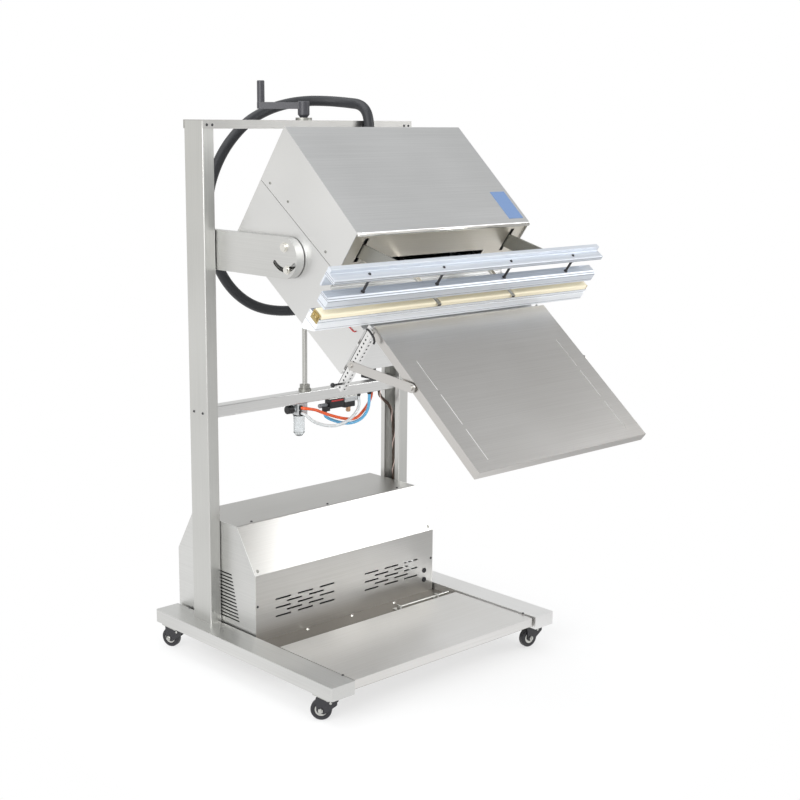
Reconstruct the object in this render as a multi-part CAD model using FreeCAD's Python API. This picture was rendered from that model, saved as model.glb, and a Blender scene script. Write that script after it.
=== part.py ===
import FreeCAD, Part
import math
import os

# External vacuum sealer on a wheeled stand, in millimetres.
# While it is drawn, X runs across the machine, the operator stands at -Y, the posts stand on
# Y = 0 and Z = 0 is the floor. At the end everything moves by -Y_MID, so that the origin lies
# at the middle of the machine's footprint on the floor.

# Base
BASE_HALF_WIDTH = 457.5
BASE_FRONT = -665.5
BASE_REAR = 180.0
BASE_TOP = 115.0
RAIL_WIDTH = 84.0
RAIL_HEIGHT = 39.0
RAIL_SHEET = 2.5
RAIL_CORNER = 7.0
DECK_DROP = 22.0
DECK_SHEET = 3.0
CROSS_WIDTH = 40.0
CROSS_HEIGHT = 6.0

# Casters
WHEEL_RADIUS = 30.0
WHEEL_WIDTH = 20.0
AXLE_RADIUS = 4.0
CASTER_TRAIL = 22.0
CASTER_PLATE = 72.0
CASTER_PLATE_SHEET = 3.0
CASTER_INSET = 36.0
CASTER_END_INSET = 52.0
FORK_SHEET = 3.0

# Foot treadle
TREADLE_GAP = 8.0
TREADLE_DEPTH = 331.0
TREADLE_FRONT_INSET = 9.5
TREADLE_SHEET = 2.0
TREADLE_DROP = 3.0
TREADLE_SKIRT = 26.0
TREADLE_SIDE_SKIRT = 16.0
TREADLE_PIN_RADIUS = 5.0
TREADLE_PIN_DROP = 10.0
TREADLE_PIN_INSET = 14.0
SPRING_BAR_BEHIND = 29.0
SPRING_BAR_RADIUS = 3.5
SPRING_BAR_LENGTH = 225.0
SPRING_BAR_INSET = 13.5
SPRING_LUG_INSETS = (233.5, 67.5)

# Box over the pump
BOX_POST_GAP = 1.0
BOX_FRONT = -213.5
BOX_FOLD_HEIGHT = 183.5
BOX_HEIGHT = 317.0
BOX_TOP_FRONT = -124.5
BOX_TOP_REAR = 98.5
BOX_SHEET = 2.0
VENT_LENGTH = 60.0
VENT_HEIGHT = 5.0
VENT_PITCH = 86.0
VENT_ROW_PITCH = 13.5
VENT_LOWEST = 42.0
VENT_CENTRES = (-176.0, 182.0)
LOUVRE_COUNT = 14
LOUVRE_PITCH = 10.6
LOUVRE_HEIGHT = 4.5
LOUVRE_LOWEST = 20.0
LOUVRE_REAR = 60.0
LOUVRE_FRONT_LOW = -133.0
LOUVRE_FRONT_HIGH = -98.0

# Machinery on the deck, inside the box
PUMP_LENGTH = 170.0
PUMP_DEPTH = 180.0
PUMP_HEIGHT = 150.0
PUMP_RIGHT = 110.0
PUMP_FRONT = -120.0
PUMP_COVER_RADIUS = 60.0
PUMP_COVER_LENGTH = 30.0
OIL_CAP_PLACE = (20.0, -60.0)
OIL_CAP_RADIUS = 22.0
OIL_CAP_HEIGHT = 35.0
MOTOR_LENGTH = 190.0
MOTOR_RADIUS = 68.0
MOTOR_AXIS_Y = -30.0
MOTOR_AXIS_HEIGHT = 85.0
MOTOR_FIN_HEIGHT = 8.0
MOTOR_FIN_WIDTH = 3.0
MOTOR_FIN_PITCH = 14.0
MOTOR_FIN_COUNT = 11
MOTOR_FIN_START = 20.0
MOTOR_FOOT_START = 40.0
MOTOR_FOOT_LENGTH = 110.0
MOTOR_FOOT_HALF_DEPTH = 50.0
MOTOR_FOOT_HEIGHT = 30.0
CABINET_INSET = 37.0
CABINET_LENGTH = 180.0
CABINET_DEPTH = 160.0
CABINET_HEIGHT = 190.0
CABINET_FRONT = -100.0
TRANSFORMER_LENGTH = 110.0
TRANSFORMER_DEPTH = 80.0
TRANSFORMER_HEIGHT = 90.0
TRANSFORMER_GAP = 20.0
COIL_HEIGHT = 30.0
COIL_INSETS = (20.0, 10.0)

# Posts and beams
POST_INNER = 368.0
POST_WIDTH = 40.0
POST_DEPTH = 91.0
POST_SHEET = 3.0
POST_SLOT = 51.0
POST_TOP = 1615.0
TOP_BEAM_SHEET = 2.5
TOP_BEAM_FLANGE = 25.0
LOWER_BEAM_TOP = 779.0
LOWER_BEAM_HEIGHT = 35.0
LOWER_BEAM_DEPTH = 40.0
LOWER_BEAM_WALL = 2.5

# Lead screw and crank
SCREW_RADIUS = 8.0
SHAFT_CLEARANCE = 0.05
BEARING_RADIUS = 20.0
BEARING_HEIGHT = 21.0
TOP_WASHER_RADIUS = 25.0
TOP_WASHER_HEIGHT = 8.0
HUB_RADIUS = 18.0
HUB_HEIGHT = 40.0
NECK_RADIUS = 11.0
NECK_HEIGHT = 9.0
CRANK_LENGTH = 130.0
CRANK_ANGLE = 136.7
CRANK_BAR = (24.0, 20.0)
CRANK_BAR_DROP = 3.5
GRIP_RADIUS = 11.5
GRIP_LENGTH = 64.0
GRIP_PIN_RADIUS = 4.0

# Carriage
ARM_TOP = 1305.0
ARM_HEIGHT = 115.0
ARM_REAR = 38.0
ARM_END = -413.0
ARM_SHEET = 3.0
ARM_OUTER = 366.0
ARM_DEPTH = 26.5
CARRIAGE_BEAM_DEPTH = 40.0
CARRIAGE_BEAM_HEIGHT = 60.0
CARRIAGE_BEAM_BOTTOM = ARM_TOP - 88
CARRIAGE_BEAM_WALL = 3.0
SLIDER_CLEARANCE = 0.4
NUT_RADIUS = 16.0
NUT_FLANGE_RADIUS = 19.0
NUT_FLANGE_HEIGHT = 9.0
NUT_BODY_HEIGHT = 40.0

# Head, in its own level frame: w forward from its rear face, v up from its floor
HEAD_TILT = 36.13
PIVOT_Y = -361.0
PIVOT_Z = ARM_TOP - 27.5
PIVOT_W = 219.0
PIVOT_V = 146.0
HEAD_HALF_WIDTH = 337.0
HEAD_SHEET = 2.0
HEAD_DEPTH = 575.0
SHELF_HEIGHT = 160.0
SEAM_HEIGHT = 206.0
SEAM_GAP = 1.8
COVER_REAR_HEIGHT = 389.0
COVER_FRONT_HEIGHT = 346.5
COVER_DEPTH = 403.0
COVER_LIP = 12.0
HEAD_FLANGE = 15.0
PANEL_INSET = 5.0
ARM_SLOT_WIDTH = 14.0
ARM_SLOT_LOW = 240.0
ARM_SLOT_HIGH = 322.0
NOZZLE_WINDOW = (414.0, 222.0, 248.0)
PIVOT_BOLT_RADIUS = 8.0
LOCK_BOLT_RADIUS = 6.0
LOCK_ARC_RADIUS = 62.5
LOCK_ANGLE = 10.6
LOCK_SLOT_FRONT = 41.6
LOCK_SLOT_REAR = 44.4
BOLT_HEAD_HEIGHT = 8.0
LOCK_COLLAR_RADIUS = 8.0

# Jaws, in the head's frame
JAW_HALF_LENGTH = 522.0
LOWER_JAW_REAR = 532.0
LOWER_JAW_FRONT = 578.0
LOWER_JAW_TOP = 222.0
LOWER_JAW_FACE = 38.0
STRIP_REAR = 545.0
STRIP_FRONT = 577.0
STRIP_TOP = 236.0
STRIP_NOTCH = 18.0
STRIP_NOTCH_FLOOR = 3.0
SEAL_BAR_REAR = 540.0
SEAL_BAR_FRONT = 575.0
SEAL_BAR_BOTTOM = 254.0
SEAL_BAR_TOP = 287.0
SEAL_TAPE = 1.0
CARRIER_REAR = 524.0
CARRIER_FRONT = 566.0
CARRIER_TOP = 354.0
CARRIER_STEP = 341.0
CARRIER_BOTTOM = 328.0
CARRIER_WEB_BOTTOM = 295.0
CARRIER_WEB = 6.0
STUD_RADIUS = 3.0
STUD_POSITIONS = (-398.0, -132.0, 132.0, 398.0)
STUD_W = 558.0
JAW_SHAFT_W = 100.0
JAW_SHAFT_V = 164.0
JAW_SHAFT_RADIUS = 10.0
JAW_BUSH_RADIUS = 16.0
JAW_BUSH_LENGTH = 15.0
JAW_ARM_X = 285.0
JAW_ARM_THICKNESS = 6.0
JAW_ARM_EYE = 18.0
JAW_CYLINDER_W = 250.0
JAW_CYLINDER_RADIUS = 25.0
JAW_CYLINDER_HEIGHT = 110.0
JAW_ROD_RADIUS = 8.0
JAW_ROD_GAP = 0.6

# Nozzles, in the head's frame
NOZZLE_X = (-108.0, 188.0)
NOZZLE_WIDTH = 15.0
NOZZLE_HEIGHT = 8.0
NOZZLE_WALL = 1.5
NOZZLE_BOTTOM = 227.0
NOZZLE_TIP = 582.0
NOZZLE_BAR = (335.0, 360.0)
NOZZLE_CYLINDER_X = 40.0
NOZZLE_CYLINDER_RADIUS = 16.0
NOZZLE_CYLINDER = (100.0, 255.0)
NOZZLE_ROD_RADIUS = 5.0

# Tray, struts and links, in the head's frame
TRAY_HINGE_W = 600.0
TRAY_HINGE_V = 176.0
TRAY_DROP = 3.5
TRAY_HALF_WIDTH = 335.0
TRAY_LENGTH = 503.0
TRAY_RISE = 17.0
TRAY_BACK = 7.0
TRAY_SHEET = 2.0
TRAY_FLANGE = 25.0
TRAY_HEM = 6.0
TRAY_SLOT_LENGTH = 103.0
TRAY_SLOT_WIDTH = 3.5
TRAY_SLOT_PITCH = 118.0
TRAY_SLOT_FIRST = 132.0
TRAY_SLOT_X = 277.0
TRAY_PIN_RADIUS = 4.0
BRACKET_RADIUS = 9.0
BRACKET_SHEET = 3.0
STRUT_SHEET = 2.0
STRUT_WIDTH = 20.0
STRUT_REAR = 585.0
STRUT_LEG = 20.0
STRUT_BOTTOM = -37.0
STRUT_TOP = 180.0
STRUT_LEG_TOP = 150.0
STRUT_HOLE_PITCH = 13.5
STRUT_HOLE_FIRST = -30.0
STRUT_HOLE_COUNT = 15
STRUT_HOLE_RADIUS = 3.0
STRUT_PIN_HOLE = 6
STRUT_KNOB_HOLE = 1
STRUT_FEET = (14.0, 108.3)
STRUT_FOOT_HEIGHT = 6.5
LINK_WIDTH = 25.0
LINK_SHEET = 3.0
LINK_ALONG_TRAY = 199.0
LINK_ABOVE_HINGE = 3.0
LINK_BOLT_RADIUS = 4.0
SLIDING_GAP = 0.5
PIN_CLEARANCE = 0.3
KNOB_RADIUS = 6.5
KNOB_REACH = 32.0

# Air parts under the lower beam
FILTER_CENTRE_X = -24.0
FILTER_SIZE = 40.0
FILTER_HEIGHT = 36.0
BOWL_RADIUS = 18.0
BOWL_HEIGHT = 72.0
AIR_PORT_RADIUS = 5.9
AIR_PORT_DEPTH = 12.0
REGULATOR_KNOB_RADIUS = 13.0
REGULATOR_KNOB_LENGTH = 24.0
AIR_TUBE_RADIUS = 5.0

# Vacuum hose and wiring
HOSE_RADIUS = 16.5
HOSE_BEHIND = 163.0
HOSE_FRONT_Y = -72.0
HOSE_X = 205.0
HOSE_CLIP_Z = 1565.0
ELBOW_X = 315.0
ELBOW_Y = 42.0
ELBOW_HEIGHT = 36.0
HARNESS_RADIUS = 5.5

POST_OUTER = POST_INNER + POST_WIDTH
HALF_DEPTH = POST_DEPTH / 2
RAIL_INNER = BASE_HALF_WIDTH - RAIL_WIDTH
BOX_HALF_WIDTH = POST_INNER - BOX_POST_GAP
RAIL_BOTTOM = BASE_TOP - RAIL_HEIGHT
DECK_TOP = BASE_TOP - DECK_DROP
TREADLE_FRONT = BASE_FRONT + TREADLE_FRONT_INSET
TREADLE_REAR = TREADLE_FRONT + TREADLE_DEPTH
TREADLE_TOP = BASE_TOP - TREADLE_DROP
BEAM_TOP = POST_TOP + TOP_BEAM_SHEET
HUB_BOTTOM = BEAM_TOP + TOP_WASHER_HEIGHT + NECK_HEIGHT
NOZZLE_MIDDLE = NOZZLE_BOTTOM + NOZZLE_HEIGHT / 2
LINK_INNER = HEAD_HALF_WIDTH + STRUT_SHEET + SLIDING_GAP
SIDES = ((-1, "left"), (1, "right"))


def vec(x, y, z):
    return FreeCAD.Vector(x, y, z)


def block(x, y, z):
    """A box from three (one end, other end) pairs."""
    low = vec(min(x), min(y), min(z))
    return Part.makeBox(abs(x[1] - x[0]), abs(y[1] - y[0]), abs(z[1] - z[0]), low)


def rod(start, end, radius):
    """A round bar between two points."""
    start = vec(*start)
    along = vec(*end) - start
    return Part.makeCylinder(radius, along.Length, start, along)


def ring(start, end, outer, inner):
    return rod(start, end, outer).cut(rod(start, end, inner))


def fuse(*shapes):
    """One solid from overlapping or touching ones."""
    joined = shapes[0].multiFuse(list(shapes[1:])).removeSplitter()
    if joined.ShapeType == "Compound" and len(joined.Solids) == 1:
        return joined.Solids[0]
    return joined


def cut(shape, tools):
    """Takes every tool away from the shape."""
    left = shape.cut(list(tools))
    if left.ShapeType == "Compound" and len(left.Solids) == 1:
        return left.Solids[0]
    return left


def group(*shapes):
    return Part.makeCompound(list(shapes))


def outline(points, radius):
    """A closed wire through the points, its corners rounded. A radius is one or one each."""
    count = len(points)
    radii = radius if isinstance(radius, (list, tuple)) else [radius] * count
    corners = []
    for index, point in enumerate(points):
        back = (points[index - 1] - point).normalize()
        ahead = (points[(index + 1) % count] - point).normalize()
        half_turn = (math.pi - back.getAngle(ahead)) / 2
        reach = radii[index] * math.tan(half_turn)
        middle = (back + ahead).normalize()
        bulge = radii[index] / math.cos(half_turn) - radii[index]
        corners.append((point + back * reach, point + middle * bulge, point + ahead * reach))
    edges = []
    for index in range(count):
        enter, top, leave = corners[index]
        if radii[index] > 0:
            edges.append(Part.Arc(enter, top, leave).toShape())
        following = corners[(index + 1) % count][0]
        if (following - leave).Length > 1e-6:
            edges.append(Part.LineSegment(leave, following).toShape())
    return Part.Wire(edges)


def across(points, radius, x_low, x_high):
    """A (y, z) outline run along X."""
    wire = outline([vec(x_low, y, z) for y, z in points], radius)
    return Part.Face(wire).extrude(vec(x_high - x_low, 0, 0))


def upright(points, radius, z_low, z_high):
    """An (x, y) outline run along Z."""
    wire = outline([vec(x, y, z_low) for x, y in points], radius)
    return Part.Face(wire).extrude(vec(0, 0, z_high - z_low))


def folded(points, radius, sheet, x_low, x_high):
    """A hollow (y, z) outline of one sheet thickness, open at both ends."""
    wire = outline([vec(x_low, y, z) for y, z in points], radius)
    length = vec(x_high - x_low, 0, 0)
    outer = Part.Face(wire).extrude(length)
    inner = Part.Face(wire.makeOffset2D(-sheet)).extrude(length)
    return outer.cut(inner)


def mirrored(shape, side):
    """The same piece on the other side of the machine when side is -1."""
    if side > 0:
        return shape
    return shape.mirror(vec(0, 0, 0), vec(1, 0, 0))


def turn(y, z, degrees):
    """Turns a (y, z) pair about X."""
    angle = math.radians(degrees)
    return (y * math.cos(angle) - z * math.sin(angle), y * math.sin(angle) + z * math.cos(angle))


def head_point(w, v):
    """The (y, z) place in the machine of a point drawn in the level head."""
    y, z = turn(PIVOT_W - w, v - PIVOT_V, HEAD_TILT)
    return (y + PIVOT_Y, z + PIVOT_Z)


def in_head(shape):
    """Tilts a piece drawn in the level head about the arms' pivot."""
    shape.translate(vec(0, PIVOT_W, -PIVOT_V))
    shape.rotate(vec(0, 0, 0), vec(1, 0, 0), HEAD_TILT)
    shape.translate(vec(0, PIVOT_Y, PIVOT_Z))
    return shape


def level(points, radius, x_low, x_high):
    """A (w, v) outline of the level head run along X."""
    return across([(-w, v) for w, v in points], radius, x_low, x_high)


def level_block(x, w, v):
    return block(x, (-w[0], -w[1]), v)


def tray_point(along, up):
    """The (w, v) place in the level head of a point drawn in the level tray."""
    y, z = turn(-along, up, TRAY_DROP)
    return (TRAY_HINGE_W - y, TRAY_HINGE_V + z)


def in_tray(shape):
    """Lowers a piece drawn in the level tray about its hinge, then tilts it with the head."""
    shape.rotate(vec(0, 0, 0), vec(1, 0, 0), TRAY_DROP)
    shape.translate(vec(0, -TRAY_HINGE_W, TRAY_HINGE_V))
    return in_head(shape)


def tray_front():
    """The machine's foremost point, the tray's front edge."""
    w, v = tray_point(TRAY_LENGTH - TRAY_BACK, TRAY_RISE)
    return head_point(w, v)[0]


Y_MID = (BASE_REAR + tray_front()) / 2


def slot_x(x, z, length, height, y_low, y_high):
    """A round-ended slot along X, cut through along Y."""
    half = (length - height) / 2
    ends = [rod((x + side * half, y_low, z), (x + side * half, y_high, z), height / 2)
            for side in (-1, 1)]
    middle = block((x - half, x + half), (y_low, y_high), (z - height / 2, z + height / 2))
    return fuse(middle, *ends)


def path_tube(name, points, radius):
    """A round tube along straight runs joined by arcs, and its tightest bend."""
    places = [vec(*point) for point in points]
    edges = []
    start = places[0]
    radii = []
    for index in range(1, len(places) - 1):
        point = places[index]
        back = places[index - 1] - point
        ahead = places[index + 1] - point
        shorter = min(back.Length, ahead.Length)
        back.normalize()
        ahead.normalize()
        half_turn = (math.pi - back.getAngle(ahead)) / 2
        reach = 0.45 * shorter
        bend = reach / math.tan(half_turn)
        radii.append(bend)
        middle = (back + ahead).normalize()
        top = point + middle * (bend / math.cos(half_turn) - bend)
        enter = point + back * reach
        leave = point + ahead * reach
        edges.append(Part.LineSegment(start, enter).toShape())
        edges.append(Part.Arc(enter, top, leave).toShape())
        start = leave
    edges.append(Part.LineSegment(start, places[-1]).toShape())
    wire = Part.Wire(edges)
    first = places[1] - places[0]
    section = Part.Wire([Part.Circle(places[0], first, radius).toShape()])
    tube = wire.makePipeShell([section], True, False)
    expected = math.pi * radius ** 2 * wire.Length
    print(name, "length", round(wire.Length), "tightest bend", round(min(radii)),
          "volume share", round(tube.Volume / expected, 4))
    return tube


def rails():
    """Folded side rails, open below, with a pad in each end for a caster."""
    nodes = {}
    outer = [(RAIL_INNER, BASE_FRONT), (BASE_HALF_WIDTH, BASE_FRONT),
             (BASE_HALF_WIDTH, BASE_REAR), (RAIL_INNER, BASE_REAR)]
    inner = [(RAIL_INNER + RAIL_SHEET, BASE_FRONT + RAIL_SHEET),
             (BASE_HALF_WIDTH - RAIL_SHEET, BASE_FRONT + RAIL_SHEET),
             (BASE_HALF_WIDTH - RAIL_SHEET, BASE_REAR - RAIL_SHEET),
             (RAIL_INNER + RAIL_SHEET, BASE_REAR - RAIL_SHEET)]
    rounding = [1.0, RAIL_CORNER, RAIL_CORNER, 1.0]
    for side, word in SIDES:
        shell = upright(outer, rounding, RAIL_BOTTOM, BASE_TOP)
        hollow = upright(inner, [0.5, RAIL_CORNER - RAIL_SHEET, RAIL_CORNER - RAIL_SHEET, 0.5],
                         RAIL_BOTTOM, BASE_TOP - RAIL_SHEET)
        pads = [block((RAIL_INNER + 1, BASE_HALF_WIDTH - 1), (y - 45, y + 45),
                      (RAIL_BOTTOM, RAIL_BOTTOM + 4)) for y in caster_rows()]
        nodes["base_rail_" + word] = mirrored(fuse(shell.cut(hollow), *pads), side)
    return nodes


def caster_rows():
    return (BASE_FRONT + CASTER_END_INSET, BASE_REAR - CASTER_END_INSET - 12)


def deck():
    """The fixed floor between the rails, with the cross bars below and the treadle's ears."""
    front = TREADLE_REAR + 5
    sheet = block((-RAIL_INNER, RAIL_INNER), (front, BASE_REAR - 4),
                  (DECK_TOP - DECK_SHEET, DECK_TOP))
    lip = block((-RAIL_INNER, RAIL_INNER), (front, front + DECK_SHEET), (RAIL_BOTTOM, DECK_TOP))
    bars = [block((-RAIL_INNER, RAIL_INNER), (y, y + CROSS_WIDTH),
                  (RAIL_BOTTOM, RAIL_BOTTOM + CROSS_HEIGHT))
            for y in (BASE_FRONT + 26, BASE_REAR - 60)]
    post = block((-12, 12), (BASE_REAR - 45, BASE_REAR - 35), (RAIL_BOTTOM, DECK_TOP))
    floor = fuse(sheet, lip, bars[1], post)
    return {"base_deck": group(floor, bars[0])}


def treadle_hinge():
    """The y and z of the foot treadle's hinge pins."""
    return (TREADLE_REAR - TREADLE_PIN_INSET, TREADLE_TOP - TREADLE_PIN_DROP)


def treadle():
    """A folded plate that swings on two rear pins, and the switch below it."""
    half = RAIL_INNER - TREADLE_GAP
    underside = TREADLE_TOP - TREADLE_SHEET
    plate = block((-half, half), (TREADLE_FRONT, TREADLE_REAR), (underside, TREADLE_TOP))
    front = block((-half, half), (TREADLE_FRONT, TREADLE_FRONT + TREADLE_SHEET),
                  (TREADLE_TOP - TREADLE_SKIRT, TREADLE_TOP))
    sides = [block((side * half, side * (half - TREADLE_SHEET)), (TREADLE_FRONT, TREADLE_REAR),
                   (TREADLE_TOP - TREADLE_SIDE_SKIRT, TREADLE_TOP)) for side in (-1, 1)]
    y, z = treadle_hinge()
    pan = fuse(plate, front, *sides)
    holes = [rod((side * (half + 1), y, z), (side * (half - 4), y, z),
                 TREADLE_PIN_RADIUS + SHAFT_CLEARANCE) for side in (-1, 1)]
    pan = cut(pan, holes)
    pins = [rod((side * RAIL_INNER, y, z), (side * (half - 8), y, z), TREADLE_PIN_RADIUS)
            for side in (-1, 1)]
    switch_floor = RAIL_BOTTOM + CROSS_HEIGHT
    switch = fuse(block((-22, 22), (BASE_FRONT + 32, BASE_FRONT + 56),
                        (switch_floor, switch_floor + 12)),
                  rod((0, BASE_FRONT + 44, switch_floor + 12),
                      (0, BASE_FRONT + 44, switch_floor + 16), 4))
    bar_y = TREADLE_REAR + SPRING_BAR_BEHIND
    bar_z = TREADLE_TOP - SPRING_BAR_BEHIND / 5
    lug_places = [RAIL_INNER - inset for inset in SPRING_LUG_INSETS]
    lugs = [block((x - 7, x + 7), (bar_y - 9, bar_y + 24), (DECK_TOP, DECK_TOP + 4))
            for x in lug_places]
    lugs += [block((x - 3, x + 3), (bar_y - 8, bar_y + 8), (DECK_TOP, bar_z + 6))
             for x in lug_places]
    bar_end = RAIL_INNER - SPRING_BAR_INSET
    spring_bar = rod((bar_end - SPRING_BAR_LENGTH, bar_y, bar_z), (bar_end, bar_y, bar_z),
                     SPRING_BAR_RADIUS)
    return {"foot_treadle": pan,
            "treadle_hardware": group(switch, fuse(spring_bar, *lugs), *pins)}


def casters():
    """Four swivel casters: plates on the rails, and a fork and a wheel each."""
    nodes = {}
    plates = []
    top = RAIL_BOTTOM
    race_top = top - CASTER_PLATE_SHEET - 0.3
    headings = {"front_left": 41, "rear_left": 20, "front_right": 83, "rear_right": 35}
    for x_side, x_word in SIDES:
        for y, y_word in zip(caster_rows(), ("front", "rear")):
            x = x_side * (BASE_HALF_WIDTH - CASTER_INSET)
            name = y_word + "_" + x_word
            half = CASTER_PLATE / 2
            square = [(x - half, y - half), (x + half, y - half),
                      (x + half, y + half), (x - half, y + half)]
            plates.append(upright(square, 8, top - CASTER_PLATE_SHEET, top))
            race = rod((0, 0, race_top - 8), (0, 0, race_top), 26)
            side_view = [(-24, race_top - 4), (36, race_top - 4),
                         (CASTER_TRAIL + 12, WHEEL_RADIUS - 6), (CASTER_TRAIL - 10, WHEEL_RADIUS - 11),
                         (-24, WHEEL_RADIUS + 18)]
            gap = WHEEL_WIDTH / 2 + 1.5
            legs = [across(side_view, [3, 3, 10, 9, 6], side * gap, side * (gap + FORK_SHEET))
                    for side in (-1, 1)]
            crown = block((-gap - FORK_SHEET, gap + FORK_SHEET), (-18, 18),
                          (race_top - 9, race_top - 5))
            reach = gap + FORK_SHEET + 2
            axle = rod((-reach, CASTER_TRAIL, WHEEL_RADIUS), (reach, CASTER_TRAIL, WHEEL_RADIUS),
                       AXLE_RADIUS)
            fork = fuse(race, crown, *legs, axle)
            half_tread = WHEEL_WIDTH / 2
            tread = rod((-half_tread, CASTER_TRAIL, WHEEL_RADIUS),
                        (half_tread, CASTER_TRAIL, WHEEL_RADIUS), WHEEL_RADIUS)
            tread = tread.makeFillet(5, [edge for edge in tread.Edges
                                         if abs(edge.Length - 2 * math.pi * WHEEL_RADIUS) < 1])
            dishes = [ring((side * half_tread, CASTER_TRAIL, WHEEL_RADIUS),
                           (side * (half_tread - 3), CASTER_TRAIL, WHEEL_RADIUS), 19, 8)
                      for side in (-1, 1)]
            bore = rod((-20, CASTER_TRAIL, WHEEL_RADIUS), (20, CASTER_TRAIL, WHEEL_RADIUS),
                       AXLE_RADIUS + SHAFT_CLEARANCE)
            wheel = cut(tread, dishes + [bore])
            for piece, word in ((fork, "caster_fork_"), (wheel, "caster_wheel_")):
                piece.rotate(vec(0, 0, 0), vec(0, 0, 1), headings[name])
                piece.translate(vec(x, y, 0))
                nodes[word + name] = piece
    nodes["caster_plates"] = group(*plates)
    return nodes


def box_outline(grow=0.0):
    bottom = DECK_TOP
    fold = BASE_TOP + BOX_FOLD_HEIGHT
    top = BASE_TOP + BOX_HEIGHT
    return [(BOX_FRONT - grow, bottom), (BOX_FRONT - grow, fold), (BOX_TOP_FRONT, top + grow),
            (BOX_TOP_REAR, top + grow), (BASE_REAR + grow, fold), (BASE_REAR + grow, bottom)]


def pump_box():
    """The folded cover over the pump, its two ends, and what it holds."""
    half = BOX_HALF_WIDTH - BOX_SHEET
    closed = folded(box_outline(), [0, 4, 4, 4, 4, 0], BOX_SHEET, -half, half)
    open_floor = block((-half, half), (BOX_FRONT + BOX_SHEET, BASE_REAR - BOX_SHEET),
                       (DECK_TOP - 1, DECK_TOP + BOX_SHEET + 1))
    vents = []
    for centre in VENT_CENTRES:
        for row in range(5):
            count = 3 - row % 2
            for column in range(count):
                x = centre + (column - (count - 1) / 2) * VENT_PITCH
                z = BASE_TOP + VENT_LOWEST + row * VENT_ROW_PITCH
                vents.append(slot_x(x, z, VENT_LENGTH, VENT_HEIGHT, BOX_FRONT - 1,
                                    BOX_FRONT + BOX_SHEET + 1))
    cover = cut(closed, [open_floor] + vents)
    ends = []
    for side in (-1, 1):
        end = across(box_outline(), [0, 4, 4, 4, 4, 0], side * half, side * BOX_HALF_WIDTH)
        slots = []
        for row in range(LOUVRE_COUNT):
            share = row / (LOUVRE_COUNT - 1)
            front = LOUVRE_FRONT_LOW + share * (LOUVRE_FRONT_HIGH - LOUVRE_FRONT_LOW)
            z = BASE_TOP + LOUVRE_LOWEST + row * LOUVRE_PITCH
            slots.append(block((side * (half - 1), side * (BOX_HALF_WIDTH + 1)),
                               (front, LOUVRE_REAR), (z, z + LOUVRE_HEIGHT)))
        ends.append(cut(end, slots))
    return {"box_cover": cover, "box_ends": group(*ends)}


def machinery():
    """The vacuum pump with its motor, and the electrical units, on the deck."""
    foot = DECK_TOP
    left = PUMP_RIGHT - PUMP_LENGTH
    axis = foot + MOTOR_AXIS_HEIGHT
    pump = fuse(block((left, PUMP_RIGHT), (PUMP_FRONT, PUMP_FRONT + PUMP_DEPTH),
                      (foot, foot + PUMP_HEIGHT)),
                rod((left, MOTOR_AXIS_Y, axis), (left - PUMP_COVER_LENGTH, MOTOR_AXIS_Y, axis),
                    PUMP_COVER_RADIUS))
    cap_x, cap_y = OIL_CAP_PLACE
    pump = fuse(pump, rod((cap_x, cap_y, foot + PUMP_HEIGHT),
                          (cap_x, cap_y, foot + PUMP_HEIGHT + OIL_CAP_HEIGHT), OIL_CAP_RADIUS))
    motor = rod((PUMP_RIGHT, MOTOR_AXIS_Y, axis), (PUMP_RIGHT + MOTOR_LENGTH, MOTOR_AXIS_Y, axis),
                MOTOR_RADIUS)
    fin_places = [PUMP_RIGHT + MOTOR_FIN_START + i * MOTOR_FIN_PITCH
                  for i in range(MOTOR_FIN_COUNT)]
    fins = [ring((x, MOTOR_AXIS_Y, axis), (x + MOTOR_FIN_WIDTH, MOTOR_AXIS_Y, axis),
                 MOTOR_RADIUS + MOTOR_FIN_HEIGHT, MOTOR_RADIUS) for x in fin_places]
    foot_start = PUMP_RIGHT + MOTOR_FOOT_START
    feet = block((foot_start, foot_start + MOTOR_FOOT_LENGTH),
                 (MOTOR_AXIS_Y - MOTOR_FOOT_HALF_DEPTH, MOTOR_AXIS_Y + MOTOR_FOOT_HALF_DEPTH),
                 (foot, foot + MOTOR_FOOT_HEIGHT))
    motor = fuse(motor, feet, *fins)
    # The cabinet stands clear of the box's end and of the rail, whichever reaches further in
    side = -min(RAIL_INNER, BOX_HALF_WIDTH) + CABINET_INSET
    rear = CABINET_FRONT + CABINET_DEPTH
    cabinet = block((side, side + CABINET_LENGTH), (CABINET_FRONT, rear),
                    (foot, foot + CABINET_HEIGHT))
    front = rear + TRANSFORMER_GAP
    core = block((side, side + TRANSFORMER_LENGTH), (front, front + TRANSFORMER_DEPTH),
                 (foot, foot + TRANSFORMER_HEIGHT))
    inset_x, inset_y = COIL_INSETS
    coil = block((side + inset_x, side + TRANSFORMER_LENGTH - inset_x),
                 (front + inset_y, front + TRANSFORMER_DEPTH - inset_y),
                 (foot, foot + TRANSFORMER_HEIGHT + COIL_HEIGHT))
    return {"vacuum_pump": group(pump, motor),
            "electrical_units": group(cabinet, fuse(core, coil))}


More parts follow.
